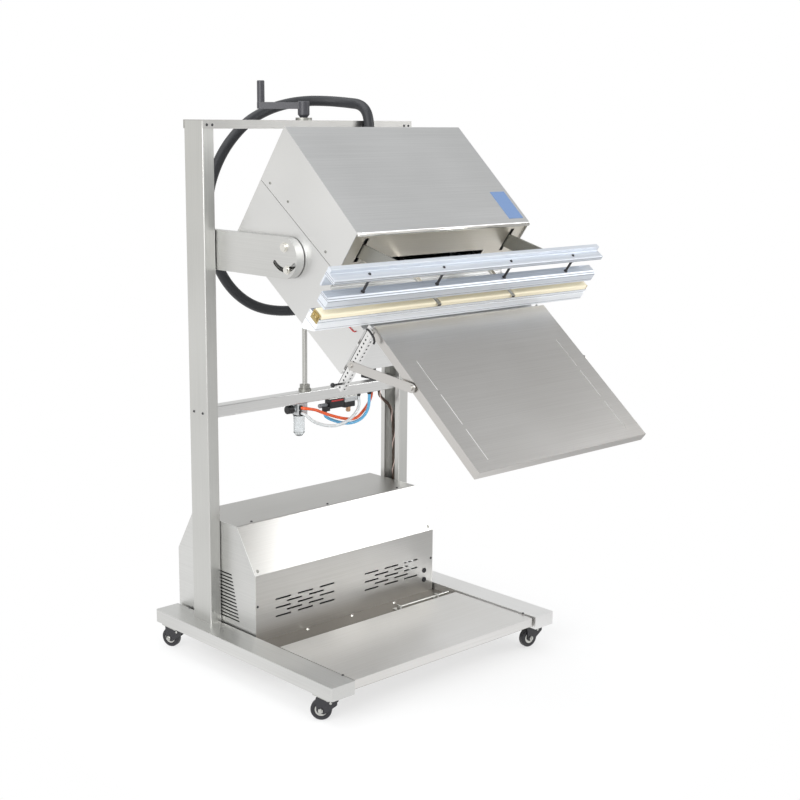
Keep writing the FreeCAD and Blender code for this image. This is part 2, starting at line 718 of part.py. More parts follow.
def posts():
    """Lipped channels whose slots face each other, and the two beams between them."""
    nodes = {}
    inner = POST_OUTER - POST_SHEET
    for side, word in SIDES:
        section = [(POST_INNER, -HALF_DEPTH), (POST_OUTER, -HALF_DEPTH),
                   (POST_OUTER, HALF_DEPTH), (POST_INNER, HALF_DEPTH)]
        shell = upright(section, 4, BASE_TOP, POST_TOP)
        deep = HALF_DEPTH - POST_SHEET
        hollow = [(POST_INNER + POST_SHEET, -deep), (inner, -deep), (inner, deep),
                  (POST_INNER + POST_SHEET, deep)]
        channel = shell.cut(upright(hollow, 1, BASE_TOP, POST_TOP))
        slot = block((POST_INNER - 1, POST_INNER + POST_SHEET + 1),
                     (-POST_SLOT / 2, POST_SLOT / 2), (BASE_TOP, POST_TOP))
        nodes["post_" + word] = mirrored(cut(channel, [slot]), side)
    wide = HALF_DEPTH + TOP_BEAM_SHEET
    top = block((-POST_OUTER, POST_OUTER), (-wide, wide), (POST_TOP, BEAM_TOP))
    flanges = [block((-POST_OUTER, POST_OUTER), (side * wide, side * HALF_DEPTH),
                     (BEAM_TOP - TOP_BEAM_FLANGE, BEAM_TOP)) for side in (-1, 1)]
    shaft_hole = rod((0, 0, POST_TOP - 1), (0, 0, BEAM_TOP + 1), SCREW_RADIUS + 1)
    nodes["top_beam"] = cut(fuse(top, *flanges), [shaft_hole])
    deep = LOWER_BEAM_DEPTH / 2
    bottom = LOWER_BEAM_TOP - LOWER_BEAM_HEIGHT
    square = [(-deep, bottom), (deep, bottom), (deep, LOWER_BEAM_TOP), (-deep, LOWER_BEAM_TOP)]
    nodes["lower_beam"] = folded(square, 3, LOWER_BEAM_WALL, -inner, inner)
    return nodes


def crank():
    """The lead screw, its bearings and the crank on top."""
    seat_top = LOWER_BEAM_TOP + BEARING_HEIGHT
    bore = SCREW_RADIUS + SHAFT_CLEARANCE
    seat = fuse(ring((0, 0, LOWER_BEAM_TOP), (0, 0, seat_top), BEARING_RADIUS - 4, bore),
                ring((0, 0, LOWER_BEAM_TOP), (0, 0, LOWER_BEAM_TOP + 8), BEARING_RADIUS, bore))
    washer = ring((0, 0, BEAM_TOP), (0, 0, BEAM_TOP + TOP_WASHER_HEIGHT), TOP_WASHER_RADIUS, bore)
    top = HUB_BOTTOM + HUB_HEIGHT
    screw = rod((0, 0, LOWER_BEAM_TOP + 0.3), (0, 0, top - 6), SCREW_RADIUS)
    neck = Part.makeCone(NECK_RADIUS, HUB_RADIUS, NECK_HEIGHT,
                         vec(0, 0, BEAM_TOP + TOP_WASHER_HEIGHT), vec(0, 0, 1))
    hub = rod((0, 0, HUB_BOTTOM), (0, 0, top), HUB_RADIUS)
    hub = hub.makeFillet(3, [edge for edge in hub.Edges if edge.CenterOfMass.z > top - 1])
    width, thick = CRANK_BAR
    bar_low = top - CRANK_BAR_DROP - thick
    bar = fuse(block((0, CRANK_LENGTH), (-width / 2, width / 2), (bar_low, bar_low + thick)),
               rod((CRANK_LENGTH, 0, bar_low), (CRANK_LENGTH, 0, bar_low + thick), width / 2))
    pin_top = bar_low + thick + GRIP_LENGTH
    pin = rod((CRANK_LENGTH, 0, bar_low), (CRANK_LENGTH, 0, pin_top - 4), GRIP_PIN_RADIUS)
    handle = fuse(neck, hub, bar, pin)
    handle = cut(handle, [rod((0, 0, BEAM_TOP), (0, 0, top - 6), SCREW_RADIUS)])
    grip_low = bar_low + thick + 0.3
    sleeve = [(GRIP_PIN_RADIUS + SHAFT_CLEARANCE, grip_low), (GRIP_RADIUS, grip_low),
              (GRIP_RADIUS, pin_top - 2), (GRIP_RADIUS - 2, pin_top),
              (GRIP_PIN_RADIUS + SHAFT_CLEARANCE, pin_top)]
    wire = Part.makePolygon([vec(CRANK_LENGTH + r, 0, z) for r, z in sleeve + sleeve[:1]])
    grip = Part.Face(wire).revolve(vec(CRANK_LENGTH, 0, 0), vec(0, 0, 1), 360)
    for piece in (handle, grip):
        piece.rotate(vec(0, 0, 0), vec(0, 0, 1), CRANK_ANGLE)
    return {"screw_bearings": group(seat, washer), "lead_screw": screw,
            "crank_handle": handle, "crank_grip": grip}


def lock_direction(degrees):
    """A (y, z) place on the lock arc, by its angle forward of straight below the pivot."""
    angle = math.radians(degrees)
    return (PIVOT_Y - LOCK_ARC_RADIUS * math.sin(angle),
            PIVOT_Z - LOCK_ARC_RADIUS * math.cos(angle))


def arc_slot(radius, x_low, x_high):
    """The lock bolt's curved slot as a solid tool."""
    def arc(reach):
        edges = []
        for degrees in (-LOCK_SLOT_REAR, 0, LOCK_SLOT_FRONT):
            angle = math.radians(degrees)
            edges.append(vec(x_low, PIVOT_Y - reach * math.sin(angle),
                             PIVOT_Z - reach * math.cos(angle)))
        return edges
    outer = arc(LOCK_ARC_RADIUS + radius)
    inner = arc(LOCK_ARC_RADIUS - radius)
    wire = Part.Wire([Part.Arc(*outer).toShape(),
                      Part.LineSegment(outer[2], inner[2]).toShape(),
                      Part.Arc(*inner[::-1]).toShape(),
                      Part.LineSegment(inner[0], outer[0]).toShape()])
    length = vec(x_high - x_low, 0, 0)
    ends = []
    for degrees in (-LOCK_SLOT_REAR, LOCK_SLOT_FRONT):
        y, z = lock_direction(degrees)
        ends.append(rod((x_low, y, z), (x_high, y, z), radius))
    return fuse(Part.Face(wire).extrude(length), *ends)


def carriage():
    """The cross beam on the nut, the sliders in the posts, and the two flanged arms."""
    nodes = {}
    low = ARM_TOP - ARM_HEIGHT
    end_radius = ARM_HEIGHT / 2
    side_view = [(ARM_REAR, low), (ARM_END, low), (ARM_END, ARM_TOP), (ARM_REAR, ARM_TOP)]
    rounding = [0, end_radius - 0.01, end_radius - 0.01, 0]
    inside = [(ARM_REAR + 1, low + ARM_SHEET), (ARM_END + ARM_SHEET, low + ARM_SHEET),
              (ARM_END + ARM_SHEET, ARM_TOP - ARM_SHEET), (ARM_REAR + 1, ARM_TOP - ARM_SHEET)]
    inside_rounding = [0, end_radius - ARM_SHEET - 0.01, end_radius - ARM_SHEET - 0.01, 0]
    web = ARM_OUTER - ARM_SHEET
    for side, word in SIDES:
        arm = across(side_view, rounding, ARM_OUTER - ARM_DEPTH, ARM_OUTER)
        hollow = across(inside, inside_rounding, ARM_OUTER - ARM_DEPTH - 1, web)
        pivot = rod((web - 1, PIVOT_Y, PIVOT_Z), (ARM_OUTER + 1, PIVOT_Y, PIVOT_Z),
                    PIVOT_BOLT_RADIUS + SHAFT_CLEARANCE)
        slot = arc_slot(LOCK_BOLT_RADIUS + SLIDING_GAP, web - 1, ARM_OUTER + 1)
        nodes["carriage_arm_" + word] = mirrored(cut(arm, [hollow, pivot, slot]), side)
    sliders = []
    reach = HALF_DEPTH - POST_SHEET - SLIDER_CLEARANCE
    for side in (-1, 1):
        body = block((POST_INNER + POST_SHEET + SLIDER_CLEARANCE,
                      POST_OUTER - POST_SHEET - SLIDER_CLEARANCE), (-reach, reach), (low, ARM_TOP))
        half_slot = POST_SLOT / 2 - SLIDER_CLEARANCE
        neck = block((ARM_OUTER, POST_OUTER - POST_WIDTH / 2), (-half_slot, half_slot),
                     (low + 10, ARM_TOP - 10))
        sliders.append(mirrored(fuse(body, neck), side))
    nodes["carriage_sliders"] = group(*sliders)
    deep = CARRIAGE_BEAM_DEPTH / 2
    top = CARRIAGE_BEAM_BOTTOM + CARRIAGE_BEAM_HEIGHT
    square = [(-deep, CARRIAGE_BEAM_BOTTOM), (deep, CARRIAGE_BEAM_BOTTOM), (deep, top), (-deep, top)]
    beam = folded(square, 4, CARRIAGE_BEAM_WALL, -web, web)
    beam = cut(beam, [rod((0, 0, CARRIAGE_BEAM_BOTTOM - 1), (0, 0, CARRIAGE_BEAM_BOTTOM + 20),
                          SCREW_RADIUS + 2),
                      rod((0, 0, top - 20), (0, 0, top + 1), NUT_RADIUS)])
    port = fuse(block((HOSE_X - 22, HOSE_X + 22), (HOSE_FRONT_Y - 12, -deep), (top - 42, top - 2)),
                rod((HOSE_X, HOSE_FRONT_Y + 8, top - 4), (HOSE_X, HOSE_FRONT_Y + 8, top - 2), 12),
                rod((HOSE_X, HOSE_FRONT_Y, top - 2), (HOSE_X, HOSE_FRONT_Y, top + 23), 12))
    port = fuse(port, rod((HOSE_X, HOSE_FRONT_Y, top + 17), (HOSE_X, HOSE_FRONT_Y, top + 23),
                          HOSE_RADIUS))
    nodes["carriage_beam"] = group(beam, port)
    bore = SCREW_RADIUS + SHAFT_CLEARANCE
    nodes["lift_nut"] = fuse(
        ring((0, 0, top - NUT_BODY_HEIGHT), (0, 0, top), NUT_RADIUS, bore),
        ring((0, 0, top), (0, 0, top + NUT_FLANGE_HEIGHT), NUT_FLANGE_RADIUS, bore))
    return nodes


def hose_port_top():
    return CARRIAGE_BEAM_BOTTOM + CARRIAGE_BEAM_HEIGHT + 23


def hose_route():
    """The loop's points, from the elbow on the lower beam to the clip on the top beam."""
    start = LOWER_BEAM_TOP + ELBOW_HEIGHT
    back = HOSE_BEHIND
    front = HOSE_FRONT_Y
    return [(ELBOW_X, ELBOW_Y, start), (ELBOW_X, ELBOW_Y, 900), (275, 80, 985),
            (180, 135, 1018), (40, back, 1008), (-90, back, 1040), (-190, back, 1125),
            (-246, back, 1255), (-248, back, 1395), (-195, back, 1515), (-105, back, 1605),
            (-20, back, 1646), (55, 160, 1667), (125, 140, 1678), (180, 98, 1678),
            (210, 40, 1673), (217, -25, 1667), (HOSE_X, front, 1626), (HOSE_X, front, HOSE_CLIP_Z)]


def hose():
    """The vacuum hose: its loop on the frame, its tail down to the carriage, its fittings."""
    loop = path_tube("hose_loop", hose_route(), HOSE_RADIUS)
    tail = rod((HOSE_X, HOSE_FRONT_Y, hose_port_top()), (HOSE_X, HOSE_FRONT_Y, HOSE_CLIP_Z),
               HOSE_RADIUS)
    beam_face = -HALF_DEPTH - TOP_BEAM_SHEET
    outer = abs(HOSE_FRONT_Y) + beam_face - 3
    band = ring((HOSE_X, HOSE_FRONT_Y, HOSE_CLIP_Z + 5), (HOSE_X, HOSE_FRONT_Y, HOSE_CLIP_Z + 20),
                outer + 1, HOSE_RADIUS + PIN_CLEARANCE)
    strap = block((HOSE_X - 10, HOSE_X + 10), (beam_face - 3, beam_face),
                  (HOSE_CLIP_Z + 5, BEAM_TOP - 5))
    clip = fuse(band, strap)
    deep = LOWER_BEAM_DEPTH / 2
    riser_top = LOWER_BEAM_TOP + ELBOW_HEIGHT
    foot = block((ELBOW_X - 22, ELBOW_X + 22), (-deep + 6, ELBOW_Y + 20),
                 (LOWER_BEAM_TOP, LOWER_BEAM_TOP + 14))
    riser = rod((ELBOW_X, ELBOW_Y, LOWER_BEAM_TOP + 5), (ELBOW_X, ELBOW_Y, riser_top), 20)
    return {"hose_loop": loop, "hose_tail": tail, "hose_fittings": group(clip, fuse(foot, riser))}


def lock_in_head():
    """The lock bolt's (w, v) place in the level head."""
    y, z = lock_direction(LOCK_ANGLE)
    y, z = turn(y - PIVOT_Y, z - PIVOT_Z, -HEAD_TILT)
    return (PIVOT_W - y, PIVOT_V + z)


def head():
    """The two folded shells of the head, its front panel and the bolts it tilts on."""
    half = HEAD_HALF_WIDTH
    inner = half - HEAD_SHEET
    body_view = [(0, 0), (HEAD_DEPTH, 0), (HEAD_DEPTH, SHELF_HEIGHT), (COVER_DEPTH, SHELF_HEIGHT),
                 (COVER_DEPTH, SEAM_HEIGHT), (0, SEAM_HEIGHT)]
    rounding = [3, 3, 3, 1, 0, 0]
    body = level(body_view, rounding, -half, half)
    t = HEAD_SHEET
    cavity_view = [(t, t), (HEAD_DEPTH - t, t), (HEAD_DEPTH - t, SHELF_HEIGHT - t),
                   (COVER_DEPTH - t, SHELF_HEIGHT - t), (COVER_DEPTH - t, SEAM_HEIGHT - t),
                   (t, SEAM_HEIGHT - t)]
    cavity = level(cavity_view, [1, 1, 1, 0.5, 0, 0], -inner, inner)
    mouth = level_block((-half + HEAD_FLANGE, half - HEAD_FLANGE),
                        (HEAD_FLANGE, COVER_DEPTH - HEAD_FLANGE), (SEAM_HEIGHT - 5, SEAM_HEIGHT + 1))
    lock_w, lock_v = lock_in_head()
    tools = [cavity, mouth]
    for w, v, radius in ((PIVOT_W, PIVOT_V, PIVOT_BOLT_RADIUS), (lock_w, lock_v, LOCK_BOLT_RADIUS)):
        for side in (-1, 1):
            tools.append(rod((side * (inner - 1), -w, v), (side * (half + 1), -w, v),
                             radius + SHAFT_CLEARANCE))
    body = cut(body, tools)
    bushes = [ring((side * inner, -JAW_SHAFT_W, JAW_SHAFT_V),
                   (side * (inner - JAW_BUSH_LENGTH), -JAW_SHAFT_W, JAW_SHAFT_V),
                   JAW_BUSH_RADIUS, JAW_SHAFT_RADIUS + SHAFT_CLEARANCE) for side in (-1, 1)]
    body = fuse(body, *bushes)

    low = SEAM_HEIGHT + SEAM_GAP
    cover_view = [(0, low), (0, COVER_REAR_HEIGHT), (COVER_DEPTH, COVER_FRONT_HEIGHT),
                  (COVER_DEPTH, low)]
    cover = level(cover_view, [0, 4, 3, 0], -half, half)
    hollow_view = [(t, low - 1), (t, COVER_REAR_HEIGHT - t - 0.2),
                   (COVER_DEPTH - t, COVER_FRONT_HEIGHT - t + 0.2), (COVER_DEPTH - t, low - 1)]
    hollow = level(hollow_view, [0, 2, 1, 0], -inner, inner)
    front = level_block((-inner, inner), (COVER_DEPTH - t - 1, COVER_DEPTH + 1),
                        (low - 1, COVER_FRONT_HEIGHT - COVER_LIP))
    ledges = []
    for side in (-1, 1):
        edge = side * (half - HEAD_FLANGE)
        ledges += [level_block((edge, side * (half - t / 2)), (t, COVER_DEPTH - HEAD_FLANGE),
                               (low, low + t)),
                   level_block((edge, side * (half - 2 * t)), (2 * t, COVER_DEPTH - HEAD_FLANGE),
                               (SEAM_HEIGHT, low + t))]
    cover = fuse(cut(cover, [hollow, front]), *ledges)

    panel_front = COVER_DEPTH - PANEL_INSET
    panel = level_block((-inner, inner), (panel_front - t, panel_front),
                        (SEAM_HEIGHT, COVER_FRONT_HEIGHT - 5))
    window, window_low, window_high = NOZZLE_WINDOW
    openings = [level_block((-window / 2, window / 2), (panel_front - t - 1, panel_front + 1),
                            (window_low, window_high))]
    for side in (-1, 1):
        x = side * JAW_ARM_X
        openings.append(level_block((x - ARM_SLOT_WIDTH / 2, x + ARM_SLOT_WIDTH / 2),
                                    (panel_front - t - 1, panel_front + 1),
                                    (ARM_SLOT_LOW, ARM_SLOT_HIGH)))
    panel = cut(panel, openings)
    bolts = []
    gap_end = ARM_OUTER - ARM_SHEET - 0.2
    for w, v, radius in ((PIVOT_W, PIVOT_V, PIVOT_BOLT_RADIUS), (lock_w, lock_v, LOCK_BOLT_RADIUS)):
        for side in (-1, 1):
            cap = ARM_OUTER + BOLT_HEAD_HEIGHT
            bolt = fuse(rod((side * (inner - 18), -w, v), (side * cap, -w, v), radius),
                        rod((side * ARM_OUTER, -w, v), (side * (ARM_OUTER + 2.5), -w, v), radius + 6),
                        rod((side * ARM_OUTER, -w, v), (side * cap, -w, v), radius + 3),
                        rod((side * inner, -w, v), (side * (inner - 10), -w, v), radius + 5))
            collar = radius + 5 if w == PIVOT_W else LOCK_COLLAR_RADIUS
            spacer = ring((side * half, -w, v), (side * gap_end, -w, v), collar,
                          radius + SHAFT_CLEARANCE)
            bolts += [bolt, spacer]
    return {"head_body": in_head(body), "head_cover": in_head(cover),
            "front_panel": in_head(panel), "tilt_bolts": in_head(group(*bolts))}


def jaw_arm_edge(w, upper):
    """The height of the jaw arm's lower or upper edge at w."""
    if upper:
        start, end = (JAW_SHAFT_W - 8, JAW_SHAFT_V + 16), (CARRIER_REAR, CARRIER_TOP - 3)
    else:
        start, end = (JAW_SHAFT_W + 8, JAW_SHAFT_V - 16), (CARRIER_REAR, CARRIER_WEB_BOTTOM + 9)
    share = (w - start[0]) / (end[0] - start[0])
    return start[1] + share * (end[1] - start[1])


def jaws():
    """The fixed lower jaw with its strip, and the upper jaw on its two arms."""
    reach = JAW_HALF_LENGTH
    lower_view = [(LOWER_JAW_REAR, SHELF_HEIGHT), (LOWER_JAW_REAR + 9, SHELF_HEIGHT),
                  (LOWER_JAW_FRONT, LOWER_JAW_TOP - LOWER_JAW_FACE), (LOWER_JAW_FRONT, LOWER_JAW_TOP - 12),
                  (LOWER_JAW_FRONT - 2.5, LOWER_JAW_TOP - 11), (LOWER_JAW_FRONT - 2.5, LOWER_JAW_TOP - 9),
                  (LOWER_JAW_FRONT, LOWER_JAW_TOP - 8), (LOWER_JAW_FRONT, LOWER_JAW_TOP),
                  (LOWER_JAW_REAR, LOWER_JAW_TOP)]
    lower = level(lower_view, [0, 2, 3, 0.5, 0.5, 0.5, 0.5, 1, 1], -reach, reach)
    strip_view = [(STRIP_REAR, LOWER_JAW_TOP), (STRIP_FRONT, LOWER_JAW_TOP),
                  (STRIP_FRONT, STRIP_TOP), (STRIP_REAR, STRIP_TOP)]
    strip = level(strip_view, [0.5, 0.5, 4, 4], -reach + 4, reach - 4)
    notches = [level_block((x - STRIP_NOTCH / 2, x + STRIP_NOTCH / 2),
                           (STRIP_REAR - 1, STRIP_FRONT + 1),
                           (LOWER_JAW_TOP + STRIP_NOTCH_FLOOR, STRIP_TOP + 1)) for x in NOZZLE_X]
    strip = cut(strip, notches)

    carrier_view = [(CARRIER_REAR, CARRIER_WEB_BOTTOM),
                    (CARRIER_REAR + CARRIER_WEB, CARRIER_WEB_BOTTOM),
                    (CARRIER_REAR + CARRIER_WEB, CARRIER_BOTTOM), (CARRIER_FRONT, CARRIER_BOTTOM),
                    (CARRIER_FRONT, CARRIER_STEP), (CARRIER_REAR + 14, CARRIER_STEP),
                    (CARRIER_REAR + 14, CARRIER_TOP), (CARRIER_REAR, CARRIER_TOP)]
    carrier = level(carrier_view, [0.5, 0.5, 2, 1.5, 1.5, 1, 1, 1], -reach, reach)
    bar_view = [(SEAL_BAR_REAR, SEAL_BAR_BOTTOM), (SEAL_BAR_FRONT, SEAL_BAR_BOTTOM),
                (SEAL_BAR_FRONT, SEAL_BAR_TOP - 8), (SEAL_BAR_FRONT - 9, SEAL_BAR_TOP),
                (SEAL_BAR_REAR, SEAL_BAR_TOP)]
    bar = level(bar_view, [1, 1, 2, 2, 1], -reach, reach)
    tape = level_block((-reach + 4, reach - 4), (SEAL_BAR_REAR + 3, SEAL_BAR_FRONT - 3),
                       (SEAL_BAR_BOTTOM - SEAL_TAPE, SEAL_BAR_BOTTOM))
    studs = [rod((x, -STUD_W, SEAL_BAR_TOP), (x, -STUD_W, CARRIER_BOTTOM), STUD_RADIUS)
             for x in STUD_POSITIONS]

    arms = []
    for side in (-1, 1):
        low_x = side * JAW_ARM_X - JAW_ARM_THICKNESS / 2
        high_x = low_x + JAW_ARM_THICKNESS
        side_view = [(JAW_SHAFT_W + 8, JAW_SHAFT_V - 16), (CARRIER_REAR, jaw_arm_edge(CARRIER_REAR, False)),
                     (CARRIER_REAR, CARRIER_TOP - 3), (JAW_SHAFT_W - 8, JAW_SHAFT_V + 16)]
        eye = rod((low_x, -JAW_SHAFT_W, JAW_SHAFT_V), (high_x, -JAW_SHAFT_W, JAW_SHAFT_V), JAW_ARM_EYE)
        arm = fuse(level(side_view, 0, low_x, high_x), eye)
        arms.append(arm)
    shaft_half = HEAD_HALF_WIDTH - HEAD_SHEET - PIN_CLEARANCE
    shaft = rod((-shaft_half, -JAW_SHAFT_W, JAW_SHAFT_V), (shaft_half, -JAW_SHAFT_W, JAW_SHAFT_V),
                JAW_SHAFT_RADIUS)
    yoke = fuse(shaft, *arms)

    bodies = []
    rods = []
    for side in (-1, 1):
        x = side * JAW_ARM_X
        y = -JAW_CYLINDER_W
        floor = HEAD_SHEET
        barrel = fuse(rod((x, y, floor), (x, y, JAW_CYLINDER_HEIGHT), JAW_CYLINDER_RADIUS),
                      block((x - 27, x + 27), (y - 27, y + 27), (floor, floor + 16)),
                      block((x - 27, x + 27), (y - 27, y + 27),
                            (JAW_CYLINDER_HEIGHT - 14, JAW_CYLINDER_HEIGHT)))
        bodies.append(cut(barrel, [rod((x, y, floor + 30), (x, y, JAW_CYLINDER_HEIGHT + 1),
                                       JAW_ROD_RADIUS + SHAFT_CLEARANCE)]))
        top = jaw_arm_edge(JAW_CYLINDER_W - JAW_ROD_RADIUS, False) - JAW_ROD_GAP
        rods.append(rod((x, y, floor + 45), (x, y, top), JAW_ROD_RADIUS))
    return {"lower_jaw": in_head(lower), "silicone_strip": in_head(strip),
            "carrier_bar": in_head(carrier), "seal_bar": in_head(group(bar, tape, *studs)),
            "jaw_yoke": in_head(yoke), "jaw_cylinders": in_head(group(*bodies)),
            "jaw_rods": in_head(group(*rods))}


def nozzles():
    """Two flat nozzles on a cross bar, moved by a cylinder that stands in the head."""
    low = NOZZLE_BOTTOM
    high = low + NOZZLE_HEIGHT
    rear, front = NOZZLE_BAR
    bar = level_block((NOZZLE_X[0] - 20, NOZZLE_X[1] + 20), (rear, front), (low - 3, high + 3))
    tubes = []
    bores = []
    for x in NOZZLE_X:
        half = NOZZLE_WIDTH / 2
        square = [(x - half, low), (x + half, low), (x + half, high), (x - half, high)]
        wire = outline([vec(a, -front + 4, b) for a, b in square], 1.5)
        tubes.append(Part.Face(wire).extrude(vec(0, -(NOZZLE_TIP - front + 4), 0)))
        bores.append(level_block((x - half + NOZZLE_WALL, x + half - NOZZLE_WALL),
                                 (front + 5, NOZZLE_TIP + 1), (low + NOZZLE_WALL, high - NOZZLE_WALL)))
    x = NOZZLE_CYLINDER_X
    back, ahead = NOZZLE_CYLINDER
    piston = rod((x, -(back + 70), NOZZLE_MIDDLE), (x, -(rear + 4), NOZZLE_MIDDLE), NOZZLE_ROD_RADIUS)
    slide = cut(fuse(bar, piston, *tubes), bores)
    barrel = rod((x, -back, NOZZLE_MIDDLE), (x, -ahead, NOZZLE_MIDDLE), NOZZLE_CYLINDER_RADIUS)
    stand = [block((x - 15, x + 15), (-w, -(w + 12)), (HEAD_SHEET, NOZZLE_MIDDLE))
             for w in (back + 20, ahead - 30)]
    barrel = cut(fuse(barrel, *stand), [rod((x, -(back + 5), NOZZLE_MIDDLE),
                                            (x, -(ahead + 1), NOZZLE_MIDDLE),
                                            NOZZLE_ROD_RADIUS + SHAFT_CLEARANCE)])
    return {"nozzle_slide": in_head(slide), "nozzle_cylinder": in_head(barrel)}


def strut_hole(index):
    """The (w, v) place of one of the strut's holes."""
    return (STRUT_REAR + STRUT_WIDTH / 2, STRUT_HOLE_FIRST + index * STRUT_HOLE_PITCH)


def tray():
    """The work tray with its hinge ears, perforated struts, links and pull knobs."""
    half = TRAY_HALF_WIDTH
    back = -TRAY_BACK
    front = TRAY_LENGTH - TRAY_BACK
    top = TRAY_RISE
    t = TRAY_SHEET
    plate = level_block((-half, half), (back, front), (top - t, top))
    flanges = [level_block((side * half, side * (half - t)), (back, front), (top - TRAY_FLANGE, top))
               for side in (-1, 1)]
    flanges.append(level_block((-half, half), (front - t, front), (top - TRAY_FLANGE, top)))
    flanges.append(level_block((-half, half), (back, back + t), (top - TRAY_HEM, top)))
    pan = fuse(plate, *flanges)
    tools = []
    for side in (-1, 1):
        for row in range(3):
            along = back + TRAY_SLOT_FIRST + row * TRAY_SLOT_PITCH
            x = side * TRAY_SLOT_X
            tools.append(level_block((x - TRAY_SLOT_WIDTH / 2, x + TRAY_SLOT_WIDTH / 2),
                                     (along, along + TRAY_SLOT_LENGTH), (top - t - 1, top + 1)))
        for along, up in ((0, 0), (LINK_ALONG_TRAY, LINK_ABOVE_HINGE)):
            tools.append(rod((side * (half - t - 1), -along, up), (side * (half + 1), -along, up),
                             TRAY_PIN_RADIUS + SHAFT_CLEARANCE))
    pan = cut(pan, tools)
    bolts = []
    link_outer = LINK_INNER + LINK_SHEET
    for side in (-1, 1):
        y, z = -LINK_ALONG_TRAY, LINK_ABOVE_HINGE
        bolt = fuse(rod((side * (half - t - 6), y, z), (side * (link_outer + 0.2), y, z), LINK_BOLT_RADIUS),
                    rod((side * (half - t), y, z), (side * (half - t - 6), y, z), 7),
                    rod((side * (link_outer + 0.2), y, z), (side * (link_outer + 4.5), y, z), 7))
        spacer = ring((side * half, y, z), (side * (LINK_INNER - 0.2), y, z), 8,
                      LINK_BOLT_RADIUS + SHAFT_CLEARANCE)
        bolts += [bolt, spacer]

    bearers = []
    knobs = {}
    inner = HEAD_HALF_WIDTH
    outer = inner + STRUT_SHEET
    strut_front = STRUT_REAR + STRUT_WIDTH
    for side, word in SIDES:
        leg = level([(STRUT_REAR, STRUT_BOTTOM), (strut_front, STRUT_BOTTOM),
                     (strut_front, STRUT_TOP), (STRUT_REAR, STRUT_TOP)], [3, 0, 0, 3],
                    side * inner, side * outer)
        lip = level_block((side * outer, side * (outer - STRUT_LEG)),
                          (strut_front - STRUT_SHEET, strut_front), (STRUT_BOTTOM, STRUT_LEG_TOP))
        feet = [level_block((side * inner, side * (outer - STRUT_LEG)),
                            (HEAD_DEPTH, strut_front - STRUT_SHEET), (v, v + STRUT_FOOT_HEIGHT))
                for v in STRUT_FEET]
        holes = []
        for index in range(STRUT_HOLE_COUNT):
            w, v = strut_hole(index)
            holes.append(rod((side * (inner - 1), -w, v), (side * (outer + 1), -w, v),
                             STRUT_HOLE_RADIUS))
            x = side * (outer - STRUT_LEG / 2)
            if v < STRUT_LEG_TOP - STRUT_HOLE_RADIUS:
                holes.append(rod((x, -strut_front - 1, v), (x, -strut_front + STRUT_SHEET + 1, v),
                                 STRUT_HOLE_RADIUS))
        bearers.append(cut(fuse(leg, lip, *feet), holes))
        ear_x = TRAY_HALF_WIDTH - TRAY_SHEET - 1
        ear = fuse(level_block((side * ear_x, side * (ear_x - BRACKET_SHEET)),
                               (HEAD_DEPTH, TRAY_HINGE_W),
                               (TRAY_HINGE_V - BRACKET_RADIUS, TRAY_HINGE_V + BRACKET_RADIUS - 4)),
                   rod((side * ear_x, -TRAY_HINGE_W, TRAY_HINGE_V),
                       (side * (ear_x - BRACKET_SHEET), -TRAY_HINGE_W, TRAY_HINGE_V), BRACKET_RADIUS),
                   rod((side * ear_x, -TRAY_HINGE_W, TRAY_HINGE_V),
                       (side * (TRAY_HALF_WIDTH + 1), -TRAY_HINGE_W, TRAY_HINGE_V), TRAY_PIN_RADIUS))
        bearers.append(ear)
        w, v = strut_hole(STRUT_KNOB_HOLE)
        ball_x = outer + KNOB_REACH
        stem = rod((side * (inner - 8), -w, v), (side * ball_x, -w, v), STRUT_HOLE_RADIUS - 0.1)
        ball = Part.makeSphere(KNOB_RADIUS, vec(side * ball_x, -w, v), vec(side, 0, 0))
        knobs["strut_knob_" + word] = in_head(fuse(stem, ball))

    links = []
    eye = strut_hole(STRUT_PIN_HOLE)
    joint = tray_point(LINK_ALONG_TRAY, LINK_ABOVE_HINGE)
    length = math.hypot(joint[0] - eye[0], joint[1] - eye[1])
    rise = math.degrees(math.atan2(joint[1] - eye[1], joint[0] - eye[0]))
    for side in (-1, 1):
        bar = fuse(block((side * LINK_INNER, side * link_outer), (0, -length),
                         (-LINK_WIDTH / 2, LINK_WIDTH / 2)),
                   *[rod((side * LINK_INNER, y, 0), (side * link_outer, y, 0), LINK_WIDTH / 2)
                     for y in (0, -length)])
        bar = cut(bar, [rod((side * (LINK_INNER - 1), -length, 0), (side * (link_outer + 1), -length, 0),
                            LINK_BOLT_RADIUS + SHAFT_CLEARANCE)])
        pin = rod((side * (LINK_INNER - 0.2), 0, 0), (side * (link_outer + 5), 0, 0), 6)
        bar = fuse(bar, pin)
        bar.rotate(vec(0, 0, 0), vec(1, 0, 0), -rise)
        bar.translate(vec(0, -eye[0], eye[1]))
        links.append(bar)
    nodes = {"work_tray": in_tray(group(pan, *bolts)), "tray_bearers": in_head(group(*bearers)),
             "tray_links": in_head(group(*links))}
    nodes.update(knobs)
    return nodes


